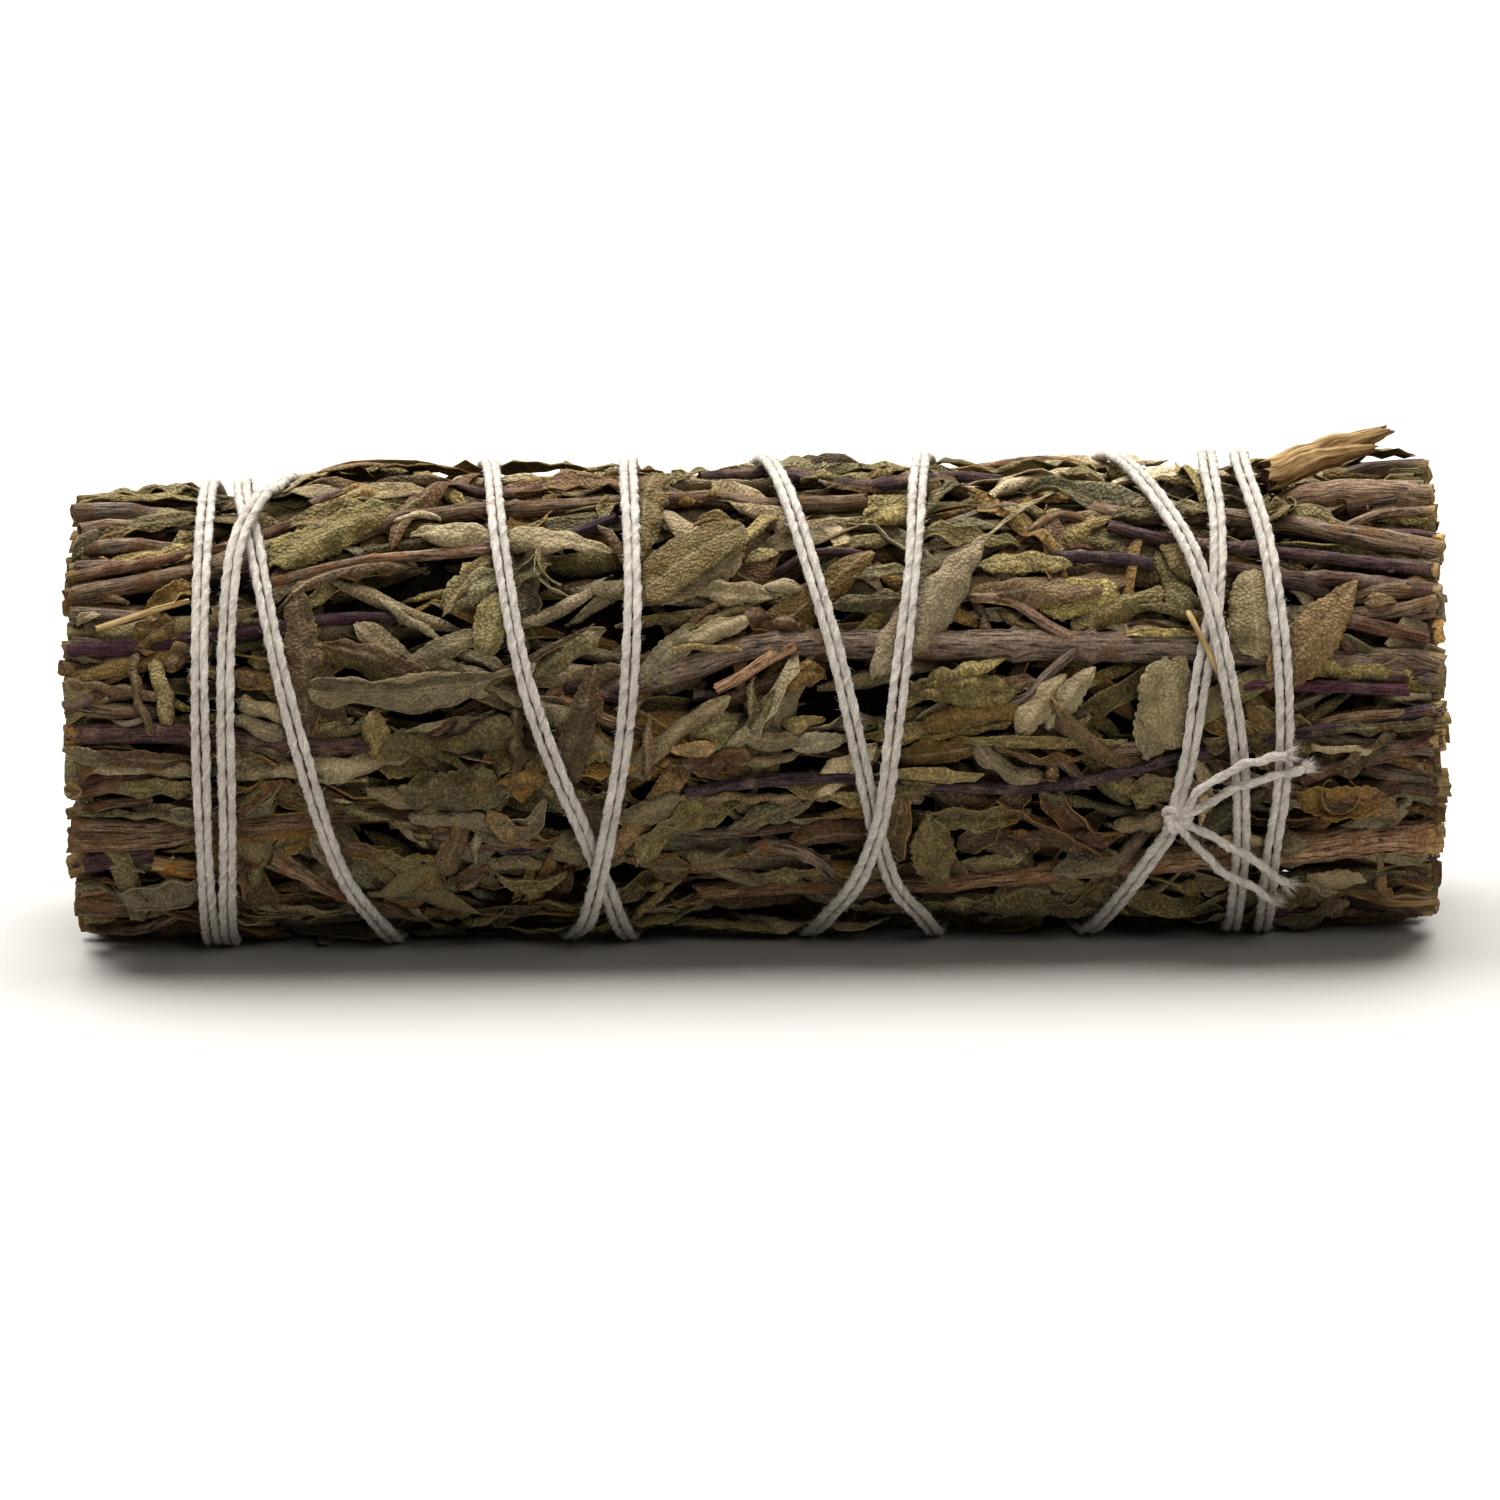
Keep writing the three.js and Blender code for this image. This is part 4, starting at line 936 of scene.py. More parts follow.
def make_knot(cotton):
    """The knot, its two strands turned over each other, and the four loose ends that fray.

    The turns of the knot follow a trefoil: (sin t + 2 sin 2t, cos t - 2 cos 2t, -0.9 sin 3t),
    times 0.3 mm. Each is tilted, and the inner one is smaller. A loose end wanders more and more.
    """
    build = Build()
    t = np.linspace(0, 2 * np.pi, 60)
    heart = on_bunch(*KNOT_PLACE)
    turns = np.stack([np.sin(t) + 2 * np.sin(2 * t), -0.9 * np.sin(3 * t),
                      np.cos(t) - 2 * np.cos(2 * t)], axis=1) * 0.3
    for number, tilt in enumerate((0.2, 1.3)):
        spin = np.array([[math.cos(tilt), 0, math.sin(tilt)], [0, 1, 0],
                         [-math.sin(tilt), 0, math.cos(tilt)]])
        add_cord(build, heart + turns @ spin.T * (1 - 0.25 * number), 71 + number, swell=0.95)
    for number, tail in enumerate(TAILS):
        places = [KNOT_PLACE] + [place if len(place) == 3 else (*place, TAIL_RADIUS) for place in tail]
        sheet = spline(unrolled(places), 60)
        wander = 0.25 * ripple(np.linspace(0, 10, 60), 0, 80 + number, 4.0) * np.linspace(0, 1, 60)
        path = rolled(laid_beside(sheet, wander))
        tangent, out, side, reach = add_cord(build, path, 75 + number)
        add_cord_fuzz(build, path, tangent, out, side, reach, per_mm=6.0)
        frayed = 90
        turn, off = rng.uniform(0, 2 * np.pi, frayed), np.sqrt(rng.uniform(0, 1, frayed)) * reach[-1]
        spread = (np.cos(turn) * off)[:, None] * out[-1] + (np.sin(turn) * off)[:, None] * side[-1]
        add_hairs(build, path[-2] + spread, tangent[-1] + spread * rng.uniform(0.5, 3.0, frayed)[:, None],
                  rng.uniform(0.5, 1.5, frayed), thick=0.022, twine_place=FIBRE_PLACE)
    finish_piece(build, "twine_knot_tied", [cotton], "cotton_twine", "twine_knot")


# ---------------------------------------------------------------- leaves

LEAF_CEILING = 17.5  # how far out a leaf may bulge between the strings
LEAF_FLOOR = 0.32  # how high above the floor it stays
CEILING_STEP = 0.5
CEILING_END = 50
SCALLOP = 0.7

# Tones of the dried leaves: colour and the group it belongs to
TONES = {
    "olive": ("#7c6f4b", 0), "green": ("#6b6247", 0), "yellow": ("#8b7d4f", 0),
    "grey": ("#7f735a", 1), "pale": ("#a4967b", 1), "khaki": ("#85785a", 1),
    "amber": ("#9c6c30", 2), "ochre": ("#7e663a", 2), "brown": ("#64523c", 2), "rust": ("#674e38", 2),
    "tan": ("#7d6848", 2),
}
GROUPS = (("olive", "sage_leaf"), ("felted", "sage_leaf_pale"), ("tan", "sage_leaf_tan"))

# How a leaf dried: section turn, blade curl and fold in degrees, waviness in mm, pleating in degrees
SHAPES = {
    "flat": (0, 12, 8, 0.1, 26), "domed": (0, 32, 6, 0.12, 34), "trough": (0, -66, -8, 0.12, 26),
    "rolled": (0, 135, 0, 0.09, 28), "folded": (20, 20, 66, 0.12, 18), "edge": (70, 20, 40, 0.14, 24),
    "under": (180, -26, -6, 0.1, 26), "crumpled": (10, 24, 18, 0.22, 56), "over": (0, 25, 5, 0.1, 8),
    "ring": (60, 15, 0, 0.08, 10), "boat": (0, -95, -14, 0.05, 40), "keeled": (0, 14, 36, 0.08, 16),
}

# The shapes and tones of the leaves that are strewn: how often each shape comes, and the tones
# in the order in which the strewn leaves' weights are given
STREWN_SHAPES = {"flat": 0.14, "domed": 0.14, "trough": 0.2, "rolled": 0.12, "folded": 0.16, "edge": 0.08,
                 "under": 0.06, "crumpled": 0.1}
STREWN_TONES = ("olive", "green", "yellow", "grey", "pale", "ochre", "brown", "rust", "tan")

# The leaves seen in front: shape, tone, width and how far it bends along its way in degrees, then
# its base and tip as looked at from the front: millimetres along, and up, from the bunch's middle
FRONT_LEAVES = [
    ("domed", "green", 2.2, 30, -47.4, 14.9, -40.2, 15.6),
    ("flat", "olive", 2, 0, -39.9, 13.6, -47.0, 12.5),
    ("domed", "olive", 2.4, -8, -39.9, 11.5, -46.4, 10.5),
    ("edge", "grey", 1.2, 0, -47.3, 12.0, -49.0, 10.8),
    ("trough", "ochre", 1.6, 10, -40.4, 8.1, -43.7, 7.0),
    ("crumpled", "ochre", 2.8, 0, -42.2, 5.7, -44.5, 4.1),
    ("crumpled", "tan", 1.6, 0, -40.6, 3.7, -42.8, 2.5),
    ("flat", "pale", 0.8, 0, -47.4, 6.4, -48.8, 5.8),
    ("rolled", "olive", 1.3, 15, -23.1, 14.8, -25.8, 13.6),
    ("under", "pale", 0.6, 0, -23.1, 13.3, -25.8, 13.1),
    ("rolled", "grey", 1.3, -8, -23.3, 11.8, -11.9, 10.5),
    ("flat", "green", 2.4, 10, -22.2, 7.1, -18.4, 8.9),
    ("trough", "green", 1.6, 0, -17.6, 8.3, -15.1, 9.9),
    ("folded", "grey", 1.6, 12, -26.6, 7.2, -23.0, 4.7),
    ("flat", "olive", 2.6, 0, -18.4, 7.4, -19.6, 3.0),
    ("under", "pale", 1.5, 0, -21.6, 16.2, -19.4, 15.9),
    ("under", "pale", 1.3, 0, -18.1, 16.2, -15.5, 16.1),
    ("domed", "olive", 1.6, -12, -31.7, 16.1, -23.9, 16.9),
    ("rolled", "yellow", 1.1, 60, -23.9, 17.1, -21.2, 14.9),
    ("crumpled", "ochre", 1.6, 0, -27.2, 15.1, -30.5, 14.8),
    ("flat", "brown", 2.5, 6, -32.3, -1.6, -33.2, 7.7),
    ("trough", "olive", 1.2, 0, -11.0, 13.3, -10.1, 14.9),
    ("flat", "olive", 1, 0, -5.7, 16.1, -3.1, 16.7),
    ("crumpled", "ochre", 1.3, 0, -2.4, 15.1, -5.9, 14.9),
    ("crumpled", "ochre", 1.5, 0, -4.1, 12.8, -1.6, 12.8),
    ("domed", "grey", 3.4, -6, -1.8, 10.5, -8.3, 7.7),
    ("rolled", "olive", 0.9, 8, -3.1, 9.6, 1.6, 14.0),
    ("flat", "olive", 1.1, 0, 1.4, 10.7, -0.5, 10.2),
    ("domed", "grey", 2, 0, -3.4, 7.7, 0.8, 7.6),
    ("under", "pale", 1, 0, 0.8, 8.2, 3.2, 8.1),
    ("folded", "olive", 2.8, 0, -0.5, 7.0, -5.7, 4.7),
    ("under", "pale", 1.6, 0, -0.8, 5.7, -4.7, 4.1),
    ("crumpled", "rust", 2.2, 0, -0.5, 6.1, 3.6, 5.4),
    ("domed", "yellow", 1.5, 0, 4.0, 16.2, 9.6, 16.1),
    ("crumpled", "yellow", 2.6, 0, 8.1, 13.3, 11.1, 13.8),
    ("flat", "olive", 0.9, 10, 14.4, 15.8, 12.3, 13.6),
    ("rolled", "olive", 1, 40, 18.0, 14.3, 22.2, 13.8),
    ("flat", "green", 1.2, 0, 13.7, 12.8, 20.2, 12.6),
    ("trough", "olive", 1.3, 0, 12.2, 11.8, 18.3, 11.5),
    ("rolled", "grey", 1.3, -14, 11.6, 8.7, 17.7, 11.6),
    ("domed", "olive", 1.9, 8, 16.7, 9.9, 22.1, 9.9),
    ("domed", "yellow", 3.2, -10, 20.7, 7.1, 25.6, 7.7),
    ("rolled", "olive", 1.6, 0, 23.5, 5.3, 28.9, 7.9),
    ("rolled", "brown", 1.1, 0, 17.3, 7.6, 21.7, 7.9),
    ("rolled", "olive", 0.9, 0, 9.3, 11.8, 6.4, 11.3),
    ("flat", "green", 1.2, 0, 10.5, 9.4, 6.2, 8.9),
    ("domed", "green", 1.8, 0, 10.3, 7.3, 6.0, 6.7),
    ("domed", "ochre", 2.1, 12, 25.6, 15.5, 19.6, 14.9),
    ("flat", "yellow", 1.4, 0, 21.3, 16.8, 24.7, 16.2),
    ("under", "pale", 1, 0, 17.6, 15.9, 19.3, 15.8),
    ("folded", "olive", 1.2, 0, 29.2, 16.2, 32.3, 15.6),
    ("domed", "olive", 1.3, 0, 26.2, 13.6, 29.5, 13.6),
    ("domed", "green", 1.5, 0, 30.3, 13.7, 32.8, 13.9),
    ("over", "olive", 1.4, 10, 29.7, 11.3, 31.0, 9.0),
    ("domed", "green", 2, 0, 30.0, 8.0, 31.8, 6.4),
    ("trough", "olive", 1.7, 40, 36.7, 13.3, 38.5, 13.9),
    ("rolled", "olive", 1.2, -70, 38.5, 13.7, 42.3, 12.0),
    ("flat", "tan", 1.1, 0, 44.2, 7.1, 46.0, 7.1),
    ("folded", "brown", 2.4, 0, -49.1, 1.5, -43.2, 0.5),
    ("rolled", "olive", 1, -50, -43.9, 2.7, -42.9, -1.8),
    ("rolled", "tan", 0.7, 40, -44.6, 3.0, -43.4, -2.2),
    ("flat", "grey", 1.2, 0, -49.6, -4.0, -46.6, -4.7),
    ("flat", "brown", 1.3, 5, -48.0, -4.3, -40.8, -4.8),
    ("rolled", "grey", 1.2, 0, -47.8, -5.3, -41.1, -5.7),
    ("crumpled", "rust", 1.4, 0, -37.4, 1.7, -35.9, 1.2),
    ("rolled", "grey", 1.1, 0, -37.0, -0.2, -33.6, -1.7),
    ("rolled", "grey", 1.2, 10, -37.1, -1.5, -33.6, -3.0),
    ("rolled", "brown", 1.1, 0, -36.7, -3.0, -33.9, -4.4),
    ("flat", "grey", 2.0, 0, -28.4, 5.1, -24.6, 2.0),
    ("rolled", "grey", 0.7, 0, -21.1, 3.3, -18.4, 2.2),
    ("flat", "grey", 1.9, 0, -24.9, 2.2, -20.0, 4.6),
    ("domed", "brown", 1.6, -10, -30.8, 3.7, -22.4, 0.4),
    ("rolled", "pale", 0.7, 8, -22.6, 2.6, -18.9, 1.4),
    ("rolled", "grey", 0.7, 8, -23.2, 2.0, -19.3, 0.8),
    ("rolled", "pale", 0.7, 6, -24.0, 1.4, -19.8, 0.3),
    ("flat", "olive", 2, 0, -27.6, -1.6, -26.7, -5.2),
    ("crumpled", "olive", 5.6, 0, -18.0, -3.0, -26.8, -4.3),
    ("crumpled", "green", 3.8, 14, -18.4, -7.2, -25.8, -7.4),
    ("folded", "brown", 2.2, 0, -17.4, -6.6, -17.3, -1.6),
    ("crumpled", "ochre", 2.2, 0, -15.1, -6.0, -18.3, -6.4),
    ("domed", "olive", 1.8, 0, -15.5, 1.9, -11.4, 4.8),
    ("domed", "brown", 2.4, 12, -14.1, -6.3, -11.8, 1.4),
    ("domed", "grey", 2.4, 10, -7.9, 1.4, -4.9, 5.0),
    ("folded", "olive", 1.2, 0, -1.4, 3.4, -5.9, 3.5),
    ("crumpled", "ochre", 2, 0, 2.3, 1.5, 4.7, 1.8),
    ("rolled", "grey", 1.2, -6, -8.2, -5.1, -2.6, -0.6),
    ("domed", "olive", 2.4, 0, -4.4, -3.0, -1.7, -1.8),
    ("folded", "olive", 0.9, 0, -0.4, -2.2, -0.3, 1.1),
    ("rolled", "grey", 1.4, 50, -0.3, -2.7, 3.1, -2.7),
    ("folded", "grey", 1.6, 0, -0.3, -4.7, 2.7, -4.3),
    ("flat", "grey", 1.5, 0, 2.8, -3.5, 6.2, -3.1),
    ("domed", "olive", 1.1, 0, 2.2, -2.1, 4.7, -1.8),
    ("crumpled", "rust", 2, 0, -0.6, -4.8, -6.2, -5.0),
    ("flat", "tan", 1.1, 0, -3.1, -3.7, -5.9, -3.8),
    ("folded", "brown", 1.2, 0, -7.8, -5.6, -7.8, -1.8),
    ("under", "pale", 2, -12, 19.2, -2.5, 22.0, 1.2),
    ("under", "pale", 1.9, -12, 21.4, -1.9, 24.1, 1.7),
    ("domed", "yellow", 2.6, 0, 18.3, 0.5, 12.6, 0.6),
    ("crumpled", "olive", 2.4, 0, 15.2, 0.9, 11.4, 0.6),
    ("crumpled", "rust", 1.9, 0, 19.5, 1.1, 16.5, -0.2),
    ("rolled", "ochre", 1.4, 30, 18.6, -1.1, 12.8, -2.1),
    ("domed", "ochre", 1.8, 0, 10.8, -4.4, 15.9, -3.7),
    ("flat", "olive", 0.9, 0, 15.9, -3.2, 25.6, -3.4),
    ("rolled", "pale", 1.1, 60, 16.4, -3.6, 20.6, -5.9),
    ("flat", "yellow", 0.7, 0, 27.2, 4.7, 31.6, 4.7),
    ("domed", "grey", 3.4, 12, 28.4, -3.8, 30.5, 2.4),
    ("domed", "yellow", 2.1, -6, 39.9, 2.3, 48.7, 0.9),
    ("trough", "olive", 1, 0, 32.5, -3.4, 34.1, -3.2),
    ("crumpled", "rust", 1.5, 0, 30.3, -1.8, 33.1, -1.2),
    ("folded", "green", 1.1, 0, 40.3, -2.5, 49.1, -1.9),
    ("under", "pale", 0.5, 0, 40.6, -3.8, 44.2, -3.8),
    ("domed", "olive", 1.4, 0, -40.6, -6.7, -47.1, -6.7),
    ("crumpled", "tan", 1.2, 0, -49.7, -6.8, -48.7, -6.8),
    ("folded", "green", 0.9, 0, -41.9, -8.7, -48.7, -8.7),
    ("trough", "grey", 1.1, 0, -42.1, -8.5, -40.3, -8.5),
    ("domed", "amber", 2.2, 20, -39.7, -13.5, -43.1, -12.8),
    ("trough", "grey", 3, 0, -39.7, -13.6, -45.4, -14.3),
    ("domed", "olive", 1.6, 0, -42.5, -15.5, -45.1, -15.8),
    ("flat", "olive", 0.6, 0, -32.2, -16.2, -37.6, -16.2),
    ("rolled", "grey", 1.4, 0, -19.0, -8.9, -24.3, -9.0),
    ("domed", "brown", 1.8, 0, -22.7, -13.0, -21.3, -9.7),
    ("folded", "grey", 0.9, 0, -20.3, -12.2, -20.0, -9.5),
    ("crumpled", "rust", 1.1, 0, -22.1, -10.2, -24.4, -10.3),
    ("domed", "olive", 1.5, 0, -22.7, -12.2, -26.2, -12.3),
    ("rolled", "grey", 1.3, 0, -21.8, -13.9, -26.9, -14.2),
    ("crumpled", "brown", 2.3, 0, -19.5, -13.2, -22.5, -14.3),
    ("trough", "olive", 1.2, 0, -18.1, -13.5, -14.1, -13.3),
    ("domed", "tan", 1.4, 0, -20.6, -15.8, -25.1, -15.6),
    ("domed", "brown", 1.5, 0, -15.8, -15.6, -20.3, -15.9),
    ("flat", "grey", 2, 10, -5.6, -7.8, -9.9, -9.2),
    ("crumpled", "rust", 1.1, 0, -7.2, -9.0, -5.4, -9.0),
    ("trough", "brown", 2, 0, -7.2, -12.5, -5.0, -12.5),
    ("folded", "olive", 1.3, 0, -8.3, -13.9, -6.7, -13.8),
    ("domed", "grey", 1.6, 0, -5.0, -12.0, -2.2, -11.8),
    ("flat", "ochre", 0.8, 0, -5.8, -15.2, -3.9, -15.1),
    ("folded", "tan", 1, 0, -4.9, -7.4, 5.3, -7.3),
    ("flat", "olive", 3, 0, 12.5, -9.2, 12.9, -13.4),
    ("trough", "olive", 1.7, 0, 12.7, -9.0, 19.0, -8.7),
    ("crumpled", "rust", 2, 0, 25.6, -10.2, 18.3, -10.5),
    ("flat", "olive", 1.1, 0, 16.2, -14.9, 11.9, -15.1),
    ("trough", "ochre", 2.8, 0, 44.7, -7.4, 39.3, -7.4),
    ("under", "pale", 2.2, 0, 43.6, -13.5, 40.2, -13.3),
    ("domed", "grey", 1.2, 0, 48.6, -11.9, 43.8, -11.8),
    ("rolled", "grey", 1.8, 10, -14.1, -11.0, -9.8, -11.8),
    ("domed", "olive", 1.6, 0, 0.3, -13.2, 4.7, -12.9),
    ("domed", "olive", 1.8, 0, 7.7, -7.4, 12.6, -6.7),
    ("rolled", "grey", 1.7, 0, 26.3, -12.5, 22.0, -13.2),
    ("domed", "olive", 1.8, 8, 31.3, -6.7, 27.4, -7.4),
    ("domed", "olive", 1.7, 0, 35.7, -3.1, 40.0, -4.0),
    ("crumpled", "brown", 1.9, 0, 45.7, -3.1, 42.1, -5.3),
    ("domed", "olive", 1.5, 0, 30.6, -14.3, 34.9, -13.9),
    ("rolled", "grey", 1.4, 0, 39.3, -10.7, 35.7, -11.5),
    ("ring", "brown", 1.2, 300, 41.7, -6.1, 42.6, -6.1),
    ("ring", "green", 1.3, 300, 37.2, 14.5, 38.0, 14.5),
    ("ring", "pale", 1.1, 170, -13.2, 11.2, -13.4, 8.0),
    ("ring", "olive", 1.0, 170, -13.9, 10.6, -14.0, 8.6),
    ("folded", "olive", 1.5, 0, -29.6, -8.2, -24.8, -9.6),
    ("trough", "brown", 1.3, 0, -30.2, -10.6, -26.0, -11.8),
    ("rolled", "grey", 1.0, 20, -27.6, -7.0, -24.0, -7.9),
    ("flat", "olive", 1.8, 0, -28.4, -11.4, -23.6, -13.2),
]

# The leaves pressed flat outside: name in the construction, shape, tone, width, bend, base, tip,
# and the stalk's share of the length
PRESSED_LEAVES = [
    ("leaf_over_thick_stem", "keeled", "pale", 4.8, 10, (21.5, 70), (8.4, 17), 0.34),
    ("leaf_long_upper_left", "flat", "yellow", 3.7, 6, (-34.2, 51), (-25.4, 70), 0.04),
    ("leaf_grey_middle_left", "boat", "grey", 2.7, -24, (-17.2, 19), (-31.2, 16), 0.1),
    ("leaf_round_right", "over", "khaki", 3.9, 12, (28.9, 20), (29.5, -2), 0.04),
    ("leaf_pointed_tan", "over", "tan", 3.7, 10, (36.2, 13), (42.4, 39), 0.04),
    ("leaf_upright_middle", "domed", "olive", 2.8, 8, (-7, 85), (-7.9, 50), 0.04),
    ("leaf_broad_middle", "trough", "olive", 3.9, -8, (-8.2, 37), (-0.8, 56), 0.04),
    ("leaf_oval_right", "over", "khaki", 3.9, 4, (35.4, 20), (35, 43), 0.04),
]

# The pressed leaves' outlines: what they share, and where one is not like the rest
PRESSED_USUAL = {"taper": 0.45, "crenate": 0.11}
PRESSED_OUTLINES = {
    "leaf_over_thick_stem": {"shape": 1.25, "taper": 0.85},
    "leaf_grey_middle_left": {"shape": 1.4, "crenate": 0.02},
    "leaf_pointed_tan": {"shape": 0.66, "taper": 0.75},
}


def make_ceiling(lines):
    """How far out leaves may reach, on a grid of the unrolled sheet.

    Over each cell it is the lowest of: low + slope * (distance to the line beyond half its
    width). A line is an array of (along, arc, low, half width, slope), and counts within 5 mm.
    """
    around = 2 * np.pi * SHEET_RADIUS
    within = 5
    x = np.arange(-CEILING_END, CEILING_END + CEILING_STEP, CEILING_STEP)
    y = np.arange(0, around, CEILING_STEP)
    top = np.full((len(x), len(y)), LEAF_CEILING)
    lines = np.concatenate(lines)
    for shift in (-around, 0, around):
        arc = lines[:, 1] % around + shift
        kept = (arc > -within) & (arc < around + within)
        near, arc = lines[kept], arc[kept]
        for row, along in enumerate(x):
            close = np.abs(near[:, 0] - along) < within
            if close.any():
                gap = np.hypot(near[close, 0][:, None] - along, arc[close][:, None] - y[None, :])
                _, _, low, half, slope = near[close].T[..., None]
                top[row] = np.minimum(top[row], (low + slope * np.maximum(gap - half, 0)).min(axis=0))
    return top


def holding_line(sheet, half_width, slope):
    """A line of sheet points that holds leaves down: (along, arc, low, half width, slope)."""
    return np.column_stack([sheet, np.tile([half_width, slope], (len(sheet), 1))])


def twine_line_low(sheet):
    """The twine as a line that presses leaves in below it."""
    twine_half = 0.52
    return holding_line(laid_beside(sheet, 0)[::2], 0.7, 1.1) - [0, 0, twine_half, 0, 0]


def stem_lines_low():
    """The stems as lines that hold leaves down to about their own middle."""
    runs = [(max(widths), places) for _, _, widths, places, _, _ in STEMS]
    runs += [(max(widths), places) for *_, twigs in STEMS for widths, places in twigs]
    runs += [(width, [seen(*place) for place in places]) for _, width, places in SMALL_STEMS]
    lines = []
    for width, places in runs:
        sheet = unrolled(with_reach(places, width))
        length = gaps(spline(sheet, 30)).sum()
        lines.append(holding_line(spline(sheet, max(int(length / 0.5), 4)), 0.3 * width, 1.1))
    return lines


def pressed_lines_low():
    """The pressed leaves as lines that hold the other leaves down under their blades."""
    lines = []
    for *_, width, _, base, tip, stalk in PRESSED_LEAVES:
        line = spline(unrolled([(*base, 16.5), (*tip, 16.5)]), 24)[1 + int(24 * stalk):-1]
        lines.append(holding_line(line, 0.42 * width, 1.0))
    return lines


def under_ceiling(sheet, top):
    """Sheet points pressed in where they would pass the ceiling or the floor.

    The radius becomes limit - soft * log(1 + exp((limit - radius) / soft)), a soft minimum. The
    ceiling is read between its grid's points in proportion.
    """
    around = 2 * np.pi * SHEET_RADIUS
    row = np.clip((sheet[..., 0] + CEILING_END) / CEILING_STEP, 0, top.shape[0] - 1.001)
    column = (sheet[..., 1] % around) / CEILING_STEP
    i, j = row.astype(int), column.astype(int) % top.shape[1]
    u, v = row - i, column - column.astype(int)
    k = (j + 1) % top.shape[1]
    limit = ((top[i, j] * (1 - u) + top[i + 1, j] * u) * (1 - v)
             + (top[i, k] * (1 - u) + top[i + 1, k] * u) * v)
    down = np.maximum(-np.sin(sheet[..., 1] / SHEET_RADIUS), 0.3)
    limit = np.minimum(limit, (AXIS_HEIGHT - LEAF_FLOOR) / down)
    soft = 0.16
    pressed = sheet.copy()
    pressed[..., 2] = limit - soft * np.logaddexp(0, (limit - sheet[..., 2]) / soft)
    return pressed


# What a leaf is unless its measures say otherwise. Its base is at along, arc and radius. It sets
# off at heading on the sheet and pitch out of it, and turns by bend and hook. Its section is
# turned by turn and twist, and sloped by curl, fold and pleat. Both its ends sink in by sink.
# Waves and crenate are the depth of its waves and scallops, stalk its stalk's share of its
# length, and shape and taper give its outline.
USUAL_LEAF = dict(
    along=0, arc=0, heading=0, length=9, width=2.4, radius=15.5, pitch=0, hook=0, sink=0.45, bend=0, turn=0,
    twist=0, curl=0.5, fold=0, pleat=0.3, waves=0.14, crenate=0.14, stalk=0.06, shape=0.75, taper=0.4)


def leaf_family(count, seed, **given):
    """Arrays of leaf measures, one row a leaf: given values, with usual ones for the rest."""
    draw = np.random.default_rng(seed)
    family = {key: np.broadcast_to(np.asarray(given.get(key, value), float), count).copy()
              for key, value in USUAL_LEAF.items()}
    family["phase"] = draw.uniform(0, 40, count)
    family["pleats"] = draw.uniform(0.5, 1.5, count)
    family["wave"] = draw.uniform(0, 1, (count, 5, 3))
    family["colour"] = tinted(given["tone"], draw)
    family["group"] = np.array([TONES[tone][1] for tone in given["tone"]])
    return family


def tinted(tones, draw):
    """Each leaf's colour: its tone times exp(a normal draw), and warmed or cooled a little."""
    base = np.array([linear(TONES[tone][0])[:3] for tone in tones])
    light = np.exp(np.clip(draw.normal(0.16, 0.27, (len(base), 1)), -0.4, 0.6))
    warm = 1 + draw.normal(0.015, 0.03, (len(base), 1)) * np.array([[1.0, 0.1, -1.2]])
    return base * light * warm


